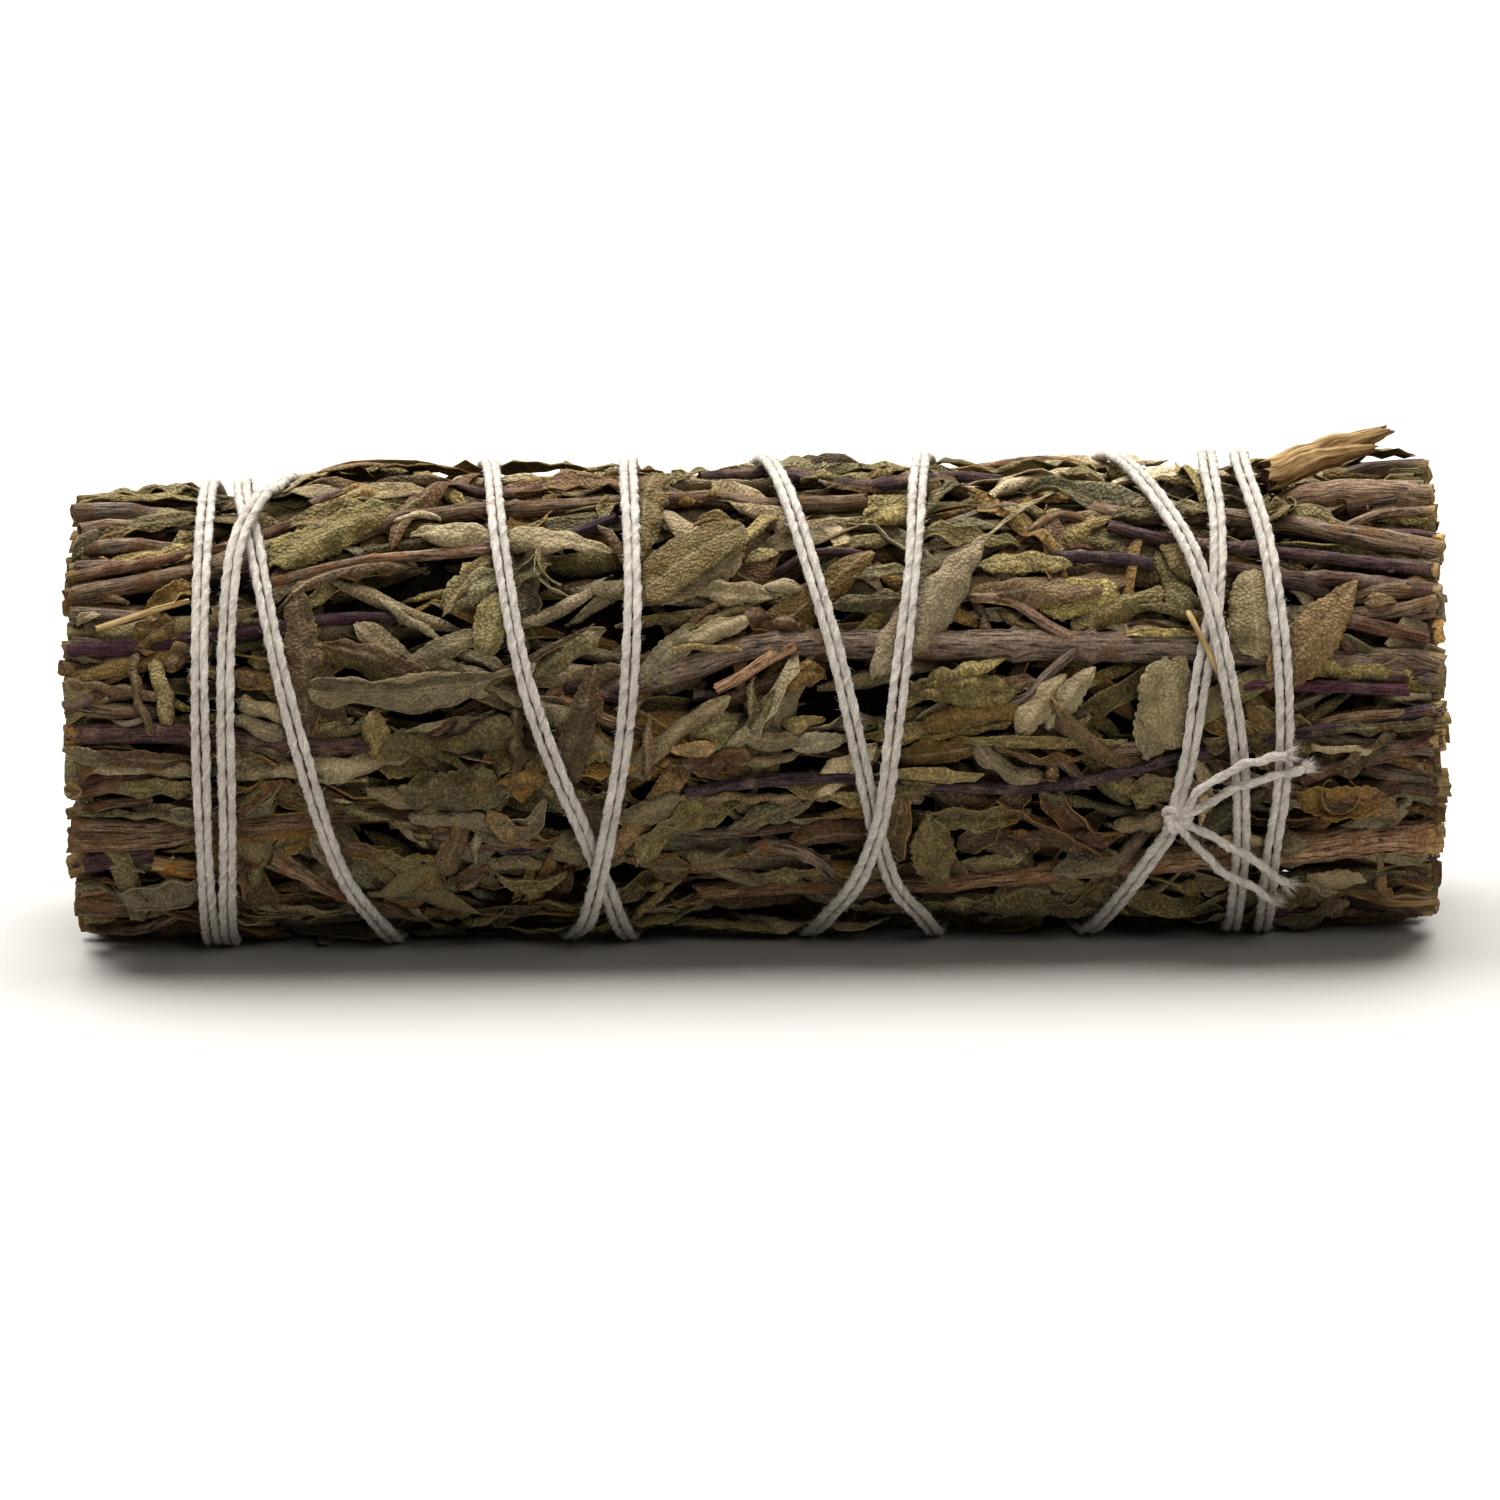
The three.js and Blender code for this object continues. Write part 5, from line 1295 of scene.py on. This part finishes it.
def add_leaves(build, family, rows, columns, top, chosen=None, thick=0.12, lay=None):
    """Leaves as closed shells, all worked out together; t runs from base to tip, v across.

    The centre line turns in the sheet by heading + bend * t and rises from it by
    pitch + hook * t^2. Across it the blade slopes by fold + curl * (distance / half width)
    + pleat * tanh(2.5 sine), and both are summed in steps. The half width is
    width / 2 * sin(pi * b^shape)^taper, where b is the share of the blade beyond its stalk, with
    scallops cut in its margin. Both ends sink by sink * |2 t - 1|^3, and a leaf that would pass
    an end plane is moved back. Waves, a grooved midrib and pillows between the side veins are
    added along the blade's normal. `lay` turns sheet points to points of the model; without it
    they are pressed under the ceiling `top` and rolled up.
    """
    chosen = np.arange(len(family["length"])) if chosen is None else np.asarray(chosen)
    if len(chosen) == 0:
        return
    f = {key: value[chosen][:, None, None] for key, value in family.items()
         if key not in ("wave", "colour", "group")}
    wave, colour = family["wave"][chosen], family["colour"][chosen]
    t = np.linspace(0, 1, rows)[None, :, None]
    v = np.linspace(-1, 1, columns)[None, None, :]
    s = t * f["length"]
    blade = np.clip((t - f["stalk"]) / (1 - f["stalk"]), 0, 1)
    half = f["width"] / 2 * np.maximum(np.sin(np.pi * blade ** f["shape"]), 0) ** f["taper"]
    half = np.maximum(half, 0.2 * (1 - t) + 0.05)
    scallop = np.abs(np.sin(np.pi * s / SCALLOP + f["phase"]))
    q = v * half * (1 - f["crenate"] * (1 - scallop) * np.abs(v) ** 3)

    heading = f["heading"] + f["bend"] * t
    pitch = f["pitch"] + f["hook"] * t ** 2
    way = joined(np.cos(pitch) * np.cos(heading), np.cos(pitch) * np.sin(heading), np.sin(pitch))
    steps = (way[:, 1:] + way[:, :-1]) / 2 * (f["length"] / (rows - 1))[..., None]
    centre = np.concatenate([0 * steps[:, :1], np.cumsum(steps, axis=1)], axis=1)
    centre = centre + np.stack([f["along"], f["arc"], f["radius"]], axis=-1)
    centre[..., 2] -= f["sink"] * np.abs(2 * t - 1) ** 3
    past = centre[..., 0] - np.clip(centre[..., 0], -END_PLANE, END_PLANE)
    centre[..., 0] -= past.max(axis=1, keepdims=True) + past.min(axis=1, keepdims=True)
    up = joined(-np.sin(pitch) * np.cos(heading), -np.sin(pitch) * np.sin(heading), np.cos(pitch))
    across = joined(-np.sin(heading), np.cos(heading), 0 * heading)
    turn = (f["turn"] + f["twist"] * (t - 0.5))[..., None]
    normal = up * np.cos(turn) + across * np.sin(turn)
    aside = across * np.cos(turn) - up * np.sin(turn)

    slope = f["fold"] * np.tanh(q / 0.2) + f["curl"] * q / (f["width"] / 2)
    crease = np.sin(2 * np.pi * f["pleats"] * v + f["phase"] + np.sin(0.6 * s + f["phase"]))
    slope = slope + f["pleat"] * np.tanh(2.5 * crease)
    middle = (slope[..., 1:] + slope[..., :-1]) / 2
    step = np.diff(q, axis=2)
    lateral = np.concatenate([0 * q[..., :1], np.cumsum(np.cos(middle) * step, axis=2)], axis=2)
    height = np.concatenate([0 * q[..., :1], -np.cumsum(np.sin(middle) * step, axis=2)], axis=2)
    heart = (columns - 1) // 2
    lateral, height = lateral - lateral[..., heart:heart + 1], height - height[..., heart:heart + 1]

    relief = 0
    for number in range(wave.shape[1]):
        ahead, over, start = (wave[:, number, part][:, None, None] for part in range(3))
        relief = relief + np.sin((0.8 + 2.6 * ahead) * s + (over - 0.5) * 5.5 * q + 6.28 * start)
    relief = f["waves"] * relief / 2.2
    relief = relief + 1.4 * f["waves"] * v ** 2 * np.sin(2.4 * s + f["phase"] + 1.5 * np.sign(v))
    vein = (s - 1.2 * np.abs(q)) / 1.5
    relief = relief + 0.07 * (np.abs(np.sin(np.pi * vein)) - 0.6) * np.clip(half, 0, 1) * (1 - v ** 4)
    relief = relief - 0.14 * np.exp(-(q / 0.22) ** 2)

    sheet = (centre + lateral[..., None] * aside + height[..., None] * normal
             + relief[..., None] * (normal * np.cos(slope)[..., None] + aside * np.sin(slope)[..., None]))
    surface = lay(sheet) if lay else rolled(under_ceiling(sheet, top))
    grown = np.cross(np.gradient(surface, axis=1), np.gradient(surface, axis=2))
    grown /= np.maximum(np.linalg.norm(grown, axis=-1), 1e-9)[..., None]
    body = thick / 2 * (1 - 0.35 * np.abs(v) ** 4)[..., None]
    shell = np.stack([surface + grown * body, surface - grown * body], axis=1)

    # marks: the place on the blade in millimetres, shifted from leaf to leaf, the distance from the
    # midrib and to the side veins, and which face it is with the shares of the way across and along
    count, grid = len(chosen), rows * columns
    faces = (sheet_faces(rows, columns)[None] + (np.arange(count) * 2 * grid)[:, None, None]).reshape(-1, 4)
    number = chosen[:, None, None].astype(float)
    place = joined(s + 17.3 * number, q, 5.1 * number)
    veins = joined(np.abs(q), vein, 0 * q)
    zone = [joined(face + 0 * q, np.abs(v), t) for face in (1, -1)]
    tint = np.concatenate([colour, np.ones((count, 1))], axis=1)[:, None, :]
    finish = family["group"][chosen].repeat(len(faces) // count) if build.by_group else 0
    build.add(shell, faces, finish,
              leaf_mm=np.stack([place, place], axis=1).reshape(-1, 3),
              leaf_vein=np.stack([veins, veins], axis=1).reshape(-1, 3),
              leaf_zone=np.stack(zone, axis=1).reshape(-1, 3),
              leaf_colour=np.broadcast_to(tint, (count, 2 * grid, 4)).reshape(-1, 4))


def leaf_material(name, felt, felt_share, blotch, rim, rough):
    """Dried sage leaf: a dull blade of small rounded pebbles between pale veins, with a felted
    underside, dry blotches and a margin that is paler felt and also carries a painted highlight.

    The pebbles are a quarter of a millimetre wide, with painted shade in the seams between them and
    their middles painted lighter, the mottling 0.8 mm and the blotches 3 mm, and the side veins are
    1.5 mm apart. `rough` is how much the pebbles, their painted shade and the mottling show. The
    tint, which each leaf brings, is the blade's own colour.
    """
    material, shader, add = new_material(name)
    tint = add("Attribute", {"attribute_name": "leaf_colour"}).outputs["Color"]
    place = add("Attribute", {"attribute_name": "leaf_mm"}).outputs["Vector"]
    zone_marks = add("Attribute", {"attribute_name": "leaf_zone"}).outputs["Vector"]
    zone = add("SeparateXYZ", Vector=zone_marks)
    vein_marks = add("Attribute", {"attribute_name": "leaf_vein"}).outputs["Vector"]
    vein = add("SeparateXYZ", Vector=vein_marks)
    cells = add("TexVoronoi", Vector=place, Scale=3.9)
    mottle = add("TexNoise", Vector=place, Scale=1.3, Detail=6.0, Roughness=0.7)
    blotches = add("TexNoise", Vector=place, Scale=0.33, Detail=3.0)
    grain = add("TexNoise", Vector=place, Scale=9.0, Detail=2.0)
    side_vein = add("Math", {"operation": "PINGPONG"}, i0=vein.outputs[1], i1=0.5)
    mottle_tone = add("MapRange", Value=mottle, From_Min=0.3, From_Max=0.7, To_Min=1 - 0.45 * rough,
                      To_Max=1 + 0.42 * rough)
    # painted shade: the low seams between the pebbles are darkened and the pebbles' middles lightened
    pebble_seam_shade_tone = add("MapRange", Value=cells, From_Min=0.1, From_Max=0.62, To_Min=1 + 0.25 * rough,
                    To_Max=1 - 0.38 * rough)
    blotch_share = add("MapRange", Value=blotches, From_Min=0.56, From_Max=0.7, To_Max=0.6)
    side_share = add("MapRange", Value=side_vein, From_Min=0.08, From_Max=0.02, To_Max=0.12)
    rib_share = add("MapRange", Value=vein.outputs[0], From_Min=0.16, From_Max=0.05, To_Max=0.28)
    # the margin is paler felt and also carries a painted highlight, all round both faces
    rim_highlight_share = add("MapRange", Value=zone.outputs[1], From_Min=0.86, From_Max=1.0, To_Max=0.4)
    under_share = add("MapRange", Value=zone.outputs[0], From_Min=0.5, From_Max=-0.5, To_Max=felt_share)
    mottled = add("Mix", MULTIPLY, Factor=1.0, A=tint, B=mottle_tone)
    blotched = add("Mix", MIX, Factor=blotch_share, A=mottled, B=blotch)
    seam_shaded = add("Mix", MULTIPLY, Factor=1.0, A=blotched, B=pebble_seam_shade_tone)
    felted = add("Mix", MIX, Factor=under_share, A=seam_shaded, B=felt)
    veined = add("Mix", MIX, Factor=side_share, A=felted, B="#a89c78")
    ribbed = add("Mix", MIX, Factor=rib_share, A=veined, B="#b0a484")
    rim_highlighted = add("Mix", MIX, Factor=rim_highlight_share, A=ribbed, B=rim)
    shaded = add("Mix", OVERLAY, Factor=0.4, A=rim_highlighted, B=grain)
    height = add("Math", {"operation": "MULTIPLY_ADD"}, i0=cells, i1=-1.0, i2=mottle)
    bump = add("Bump", Strength=1.0, Distance=0.00026 * rough, Height=height)
    feed(material, shader, Base_Color=shaded, Normal=bump, Roughness=0.85, Specular_IOR_Level=0.25,
         Sheen_Weight=0.06)
    return material


def packed_leaf_material():
    """Crushed sage leaf cut across: thin wavy layers, olive to brown, with painted shade in the gaps between
    them.

    The layers are about 0.3 mm thick and follow the level lines of a warped noise with folds of
    4 mm. Further than 46.6 mm along they show in full, and from 45.8 mm inwards it is painted near-black as
    the shade under the leaves.
    """
    material, shader, add = new_material("crushed_sage_leaf_cut_across")
    place = add("TexCoord").outputs["Object"]
    spot = add("SeparateXYZ", Vector=place)
    folds = add("TexNoise", Vector=place, Scale=230, Detail=2.0, Distortion=1.5)
    drift = add("TexNoise", Vector=place, Scale=420, Detail=4.0, Roughness=0.7)
    grain = add("TexNoise", Vector=place, Scale=3000, Detail=3.0, Roughness=0.7)
    level = add("Math", {"operation": "MULTIPLY"}, i0=folds, i1=17.0)
    layer = add("Math", {"operation": "PINGPONG"}, i0=level, i1=0.5)
    unshaded_layer_share = add("MapRange", Value=layer, From_Min=0.14, From_Max=0.34)
    drift_share = add("MapRange", Value=drift, From_Min=0.38, From_Max=0.62)
    grain_tone = add("MapRange", Value=grain, From_Min=0.3, From_Max=0.7, To_Min=0.55, To_Max=1.3)
    from_middle = add("Math", {"operation": "ABSOLUTE"}, i0=spot.outputs[0])
    unshaded_end_share = add("MapRange", Value=from_middle, From_Min=0.0458, From_Max=0.0466)
    leaf = add("Mix", MIX, Factor=drift_share, A="#69563a", B="#8d8060")
    # painted shade: the gaps between the layers are near-black #2b2115
    layers_with_gap_shade = add("Mix", MIX, Factor=unshaded_layer_share, A="#2b2115", B=leaf)
    # painted shade: inwards of 45.8 mm the core's side, under the leaves, is near-black #251d12
    shown = add("Mix", MIX, Factor=unshaded_end_share, A="#251d12", B=layers_with_gap_shade)
    grained = add("Mix", MULTIPLY, Factor=1.0, A=shown, B=grain_tone)
    bump = add("Bump", Strength=1.0, Distance=0.0006, Height=layer)
    feed(material, shader, Base_Color=grained, Normal=bump, Roughness=0.95, Specular_IOR_Level=0.15)
    return material


def random_leaves(count, seed, low, high, lengths, widths, weights, spread):
    """Leaves strewn over a band of angles, mostly lying along the bunch, in drawn shapes and tones.

    They lie from the angle low to high, and their heading is a normal draw of that spread, from
    either end. The weights say how often each of STREWN_TONES comes.
    """
    draw = np.random.default_rng(seed)
    names = list(STREWN_SHAPES)
    shape = draw.choice(len(names), count, p=list(STREWN_SHAPES.values()))
    looks = np.array([SHAPES[name] for name in names])[shape]
    length = draw.uniform(*lengths, count)
    ahead = draw.random(count) < 0.5
    heading = draw.normal(0, spread, count) + np.where(ahead, 0, np.pi)
    reach = length * np.cos(heading)
    along = draw.uniform(-END_PLANE + np.maximum(-reach, 0), END_PLANE - np.maximum(reach, 0))
    tone = [STREWN_TONES[pick] for pick in draw.choice(len(STREWN_TONES), count, p=weights)]
    rolled_up = shape == names.index("rolled")
    return dict(
        tone=tone, along=along, arc=np.radians(draw.uniform(low, high, count)) * SHEET_RADIUS,
        heading=heading, length=length, width=draw.uniform(*widths, count) * np.where(rolled_up, 0.7, 1),
        pitch=draw.normal(0, 0.1, count), hook=draw.normal(-0.05, 0.22, count),
        bend=draw.normal(0, 0.5, count), turn=np.radians(looks[:, 0]) + draw.normal(0, 0.3, count),
        twist=draw.normal(0, 0.5, count), curl=np.radians(looks[:, 1]) * draw.uniform(0.7, 1.15, count),
        fold=np.radians(looks[:, 2]) * draw.uniform(0.6, 1.2, count),
        pleat=np.radians(looks[:, 4]) * draw.uniform(0.6, 1.6, count),
        waves=looks[:, 3] * draw.uniform(0.8, 1.5, count), shape=draw.uniform(0.6, 0.95, count),
        taper=draw.uniform(0.4, 0.8, count))


def make_leaf_beds(top, looks):
    """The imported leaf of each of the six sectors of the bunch."""
    count = 140
    for number in range(6):
        middle = -90 + 60 * number
        build = Build(by_group=True)
        strewn = random_leaves(
            count, 300 + number, low=middle - 31, high=middle + 31, lengths=(8, 14.5), widths=(1.5, 3.2),
            weights=(0.19, 0.12, 0.03, 0.2, 0.07, 0.08, 0.2, 0.06, 0.05), spread=0.5)
        strewn["radius"] = np.random.default_rng(330 + number).uniform(13.6, 15.8, count)
        add_leaves(build, leaf_family(count, 360 + number, **strewn), 8, 4, top, thick=0.2)
        name = f"leaf_bed_{number + 1}"
        finish_piece(build, name + "_grown", looks, "sage_leaf", name)


def make_core():
    """A bumpy closed bar under the leaves, painted near-black along its side as the shade under them, with
    chopped leaf packed at its ends.

    Its side is radius 12.8 plus ripples, and swells by an eighth from 43 mm to 46 mm along. Each
    end closes in steps to the axis, and its face stands at 47.2 mm along, plus ripples.
    """
    build = Build()
    sides, side_end, face = 44, 46.6, 47.2
    side_x = np.linspace(-side_end, side_end, 76)
    closing = np.sin(np.linspace(0.1, 1, 11) * np.pi / 2)[:, None]
    turn = np.linspace(0, 2 * np.pi, sides, endpoint=False)[None, :]
    x = np.concatenate([0 * closing - face, side_x[:, None], 0 * closing + face])
    share = np.concatenate([closing, np.ones((len(side_x), 1)), closing[::-1]])
    radius = share * (12.8 + 0.5 * ripple(x, turn, 11, 7.0, 6, 9) + 0.35 * ripple(x, turn, 12, 2.5, 6, 22))
    radius = radius * (1 + 0.125 * np.clip((np.abs(x) - 43) / 3, 0, 1))
    at_end = np.abs(x) > 47
    x = x + np.where(at_end, 0.5 * ripple(14 * share, turn, 13, 3.5, 8, 9), 0 * turn)
    x = x + np.where(at_end, 0.3 * ripple(14 * share, turn, 14, 1.6, 8, 14), 0)
    points = on_bunch(x, np.degrees(turn) + 0 * x, radius).reshape(-1, 3)
    poles = np.array([[-face, 0, AXIS_HEIGHT], [face, 0, AXIS_HEIGHT]])
    faces = tube_faces(len(x), sides)[:, ::-1]
    faces = np.where((faces[:, :1] < 0), np.roll(faces, -1, axis=1), faces)
    build.add(np.concatenate([points, poles]), faces)
    finish_piece(build, "packed_leaf_core", [packed_leaf_material()], "sage_leaf")


def make_wrap_leaves(top, looks):
    """The outer leaves all round, and short curled ones low in front: a piece for each group of tones.

    Those in front lie deeper, except over the top, where they stand out.
    """
    count = 330
    strewn = random_leaves(
        count, 210, low=-180, high=180, lengths=(8, 15), widths=(1.8, 3.8),
        weights=(0.21, 0.11, 0.06, 0.2, 0.09, 0.08, 0.15, 0.05, 0.05), spread=0.6)
    angle = np.degrees(strewn["arc"] / SHEET_RADIUS)
    front = (angle > -65) & (angle < 115)
    strewn["radius"] = np.random.default_rng(211).uniform(15.7, 16.9, count) - 0.8 * front
    strewn["radius"] += 1.3 * (np.abs(angle - 92) < 26) * (strewn["along"] < 34)
    family = leaf_family(count, 212, **strewn)
    count = 92
    curled = random_leaves(
        count, 214, low=-64, high=8, lengths=(4.5, 9), widths=(1.5, 3),
        weights=(0.14, 0.12, 0.03, 0.22, 0.08, 0.05, 0.2, 0.08, 0.08), spread=0.8)
    curled["radius"] = np.random.default_rng(215).uniform(16.0, 16.9, count)
    curled["bend"] *= 2
    curled = leaf_family(count, 216, **curled)
    for group, (name, slot) in enumerate(GROUPS):
        build = Build()
        for leaves in (family, curled):
            add_leaves(build, leaves, 14, 7, top, np.flatnonzero(leaves["group"] == group))
        finish_piece(build, f"wrap_leaves_{name}", [looks[group]], slot)


def narrowed(looks):
    """How many times wider a flat leaf is than the same leaf dried into its curl and pleats.

    1.08 * curl / sin(curl) * (1 + pleat^2 / 4), with the sine of at most a quarter turn.
    """
    curl, pleat = np.radians(np.abs(looks[:, 1])), np.radians(looks[:, 4])
    return 1.08 * curl / np.sin(np.minimum(curl, np.pi / 2)) * (1 + 0.25 * pleat ** 2)


def placed_leaves(rows, seed, radius, hidden=0.14, sink=0.6):
    """Leaves laid from a base to a tip, and longer at both ends by the hidden share, which sinks in.

    The length makes up for the bend, so the tip stays put. A stubby one, shorter than 1.4 times
    its width, curls less, stays up and has blunt ends.
    """
    draw = np.random.default_rng(seed)
    shapes, tones, widths, bends, bases, tips = zip(*rows)
    base, tip, widths = np.array(bases, float), np.array(tips, float), np.array(widths)
    start = np.stack([base[:, 0], np.radians(base[:, 1]) * SHEET_RADIUS], axis=1)
    chord = np.stack([tip[:, 0], np.radians(tip[:, 1]) * SHEET_RADIUS], axis=1) - start
    start, chord = start - hidden * chord, chord * (1 + 2 * hidden)
    bend = np.radians(bends)
    looks = np.array([SHAPES[name] for name in shapes])
    count = len(rows)
    stubby = np.linalg.norm(chord, axis=1) < 1.4 * widths
    return leaf_family(
        count, seed + 1, tone=tones, along=start[:, 0], arc=start[:, 1],
        heading=np.arctan2(chord[:, 1], chord[:, 0]) - bend / 2,
        length=np.linalg.norm(chord, axis=1) / np.sinc(bend / (2 * np.pi)), bend=bend,
        width=widths * narrowed(looks), radius=radius + draw.normal(0, 0.12, count),
        pitch=draw.normal(0, 0.03, count), hook=draw.normal(-0.06, 0.08, count),
        turn=np.radians(looks[:, 0]) + draw.normal(0, 0.08, count), twist=draw.normal(0, 0.2, count),
        curl=np.radians(looks[:, 1]) * np.where(stubby, 0.45, 1), fold=np.radians(looks[:, 2]),
        pleat=np.radians(looks[:, 4]), waves=looks[:, 3], shape=draw.uniform(0.65, 0.85, count), stalk=0.04,
        crenate=0.13, sink=sink * ~stubby, taper=np.where(stubby, 0.4, draw.uniform(0.4, 0.72, count)))


def make_front_leaves(top, looks):
    """The leaves seen in front, of which the long ones get more rows and columns."""
    rows = [(shape, tone, width, bend, seen(x0, y0), seen(x1, y1))
            for shape, tone, width, bend, x0, y0, x1, y1 in FRONT_LEAVES]
    family = placed_leaves(rows, 230, 16.75)
    for group, (name, slot) in enumerate(GROUPS):
        build = Build()
        own = family["group"] == group
        for shortest, longest, grid in ((0, 3.6, (20, 9)), (3.6, 6.5, (30, 11)), (6.5, 99, (42, 12))):
            sized = own & (family["length"] >= shortest) & (family["length"] < longest)
            add_leaves(build, family, *grid, top, np.flatnonzero(sized))
        finish_piece(build, f"front_leaves_{name}", [looks[group]], slot)


def make_pressed_leaves(top, looks):
    """The large leaves pressed on outside, each a piece of its own."""
    pressed = placed_leaves([row[1:-1] for row in PRESSED_LEAVES], 240, 17.2, hidden=0.02, sink=0.3)
    for number, (name, *_, stalk) in enumerate(PRESSED_LEAVES):
        own = {"stalk": stalk, **PRESSED_USUAL, **PRESSED_OUTLINES.get(name, {})}
        for key, value in own.items():
            pressed[key][number] = value
    for number, (name, _, tone, *_) in enumerate(PRESSED_LEAVES):
        group = TONES[tone][1]
        build = Build()
        add_leaves(build, pressed, 72, 13, top, [number])
        finish_piece(build, name + "_grown", [looks[group]], GROUPS[group][1], name)


def stood(sheet):
    """Points (along, aside, up) from the axis as points of the model, kept inside the bunch's rim."""
    reach = np.hypot(sheet[..., 1], sheet[..., 2])
    angle = np.degrees(np.arctan2(sheet[..., 2], -sheet[..., 1]))
    return on_bunch(sheet[..., 0], angle, np.minimum(reach, 16.3))


def make_end_leaves(top, looks):
    """Cut leaf packed between the stem ends, standing with its cut edge at the end planes.

    The arc and radius of such a leaf are its place aside and up from the axis, spread evenly over
    a disk of radius 16.2. It runs inwards, turned anyhow about its length.
    """
    count = 380
    for end, name in ((-1, "left"), (1, "right")):
        draw = np.random.default_rng(250 + end)
        build = Build(by_group=True)
        strewn = random_leaves(
            count, 255 + end, low=-180, high=180, lengths=(3, 4.5), widths=(1.8, 4.2),
            weights=(0.18, 0.14, 0.03, 0.18, 0.06, 0.12, 0.19, 0.06, 0.04), spread=0.4)
        reach = 16.2 * np.sqrt(draw.uniform(0, 1, count))
        turned = draw.uniform(0, 2 * np.pi, count)
        strewn["arc"], strewn["radius"] = reach * np.cos(turned), reach * np.sin(turned)
        face = END_PLANE + draw.uniform(-1.3, 0.2, count) - fallen_back(reach)
        strewn["heading"] = draw.normal(0, 0.08, count) + (0 if end < 0 else np.pi)
        strewn["along"] = end * face
        strewn["turn"] = draw.uniform(0, 2 * np.pi, count)
        family = leaf_family(count, 260 + end, **strewn, stalk=-0.5)
        add_leaves(build, family, 3, 6, top, thick=0.24, lay=stood)
        finish_piece(build, f"end_leaves_{name}", looks, "sage_leaf")


# ---------------------------------------------------------------- the whole

make_camera()
make_studio()
stem_looks = [
    bark_material("weathered_sage_stem_bark", "#43352a", "#9c866f", "#77583c"),
    bark_material("purple_young_sage_stem", "#2c1f21", "#594647", "#6a5951", 2.1),
    bark_material("red_brown_sage_stem", "#3b281f", "#7d5d49", "#836d5a"),
    bark_material("magenta_sage_stub", "#351f26", "#5e3c44", "#574640", 1.8),
    cut_wood_material("split_sage_wood", "#b0956a", "#6b5236"),
    cut_wood_material("dry_straw", "#c2aa80", "#8f7448"),
    bark_material("pale_worn_sage_stem_bark", "#574538", "#b59a82", "#896b50"),
]
cut_looks = [
    cut_wood_material("browned_cut_sage_wood", "#7a5f3f", "#3d2c1b"),
    cut_wood_material("fresh_cut_sage_wood", "#a9916a", "#6f583a"),
]
stem_down = down_material()
# the fourth colour of each leaf look is its margin's: paler felt with a painted highlight on it
leaf_looks = [
    leaf_material("dried_sage_leaf", "#8b7e59", 0.6, "#6e5526", "#a0935a", 1.0),
    leaf_material("felted_sage_leaf", "#968768", 0.5, "#6a5a3c", "#b0a17d", 0.72),
    leaf_material("browned_sage_leaf", "#846838", 0.5, "#5a3c1c", "#b08b45", 0.9),
]
twine_line = twine_sheet()
twine_low = twine_line_low(twine_line)
over_all = make_ceiling([twine_low])
over_stems = make_ceiling([twine_low, *pressed_lines_low()])
among_stems = make_ceiling([twine_low, *pressed_lines_low(), *stem_lines_low()])
make_stems(stem_looks, cut_looks, stem_down)
make_split_twig(stem_looks, cut_looks)
make_small_stems(stem_looks, cut_looks)
make_inner_stems(stem_looks, cut_looks)
make_packed_ends(stem_looks, cut_looks)
cotton_look = cotton_material()
make_twine(twine_line, cotton_look)
make_knot(cotton_look)
make_core()
make_leaf_beds(among_stems, leaf_looks)
make_wrap_leaves(among_stems, leaf_looks)
make_front_leaves(over_stems, leaf_looks)
make_pressed_leaves(over_all, leaf_looks)
make_end_leaves(over_stems, leaf_looks)
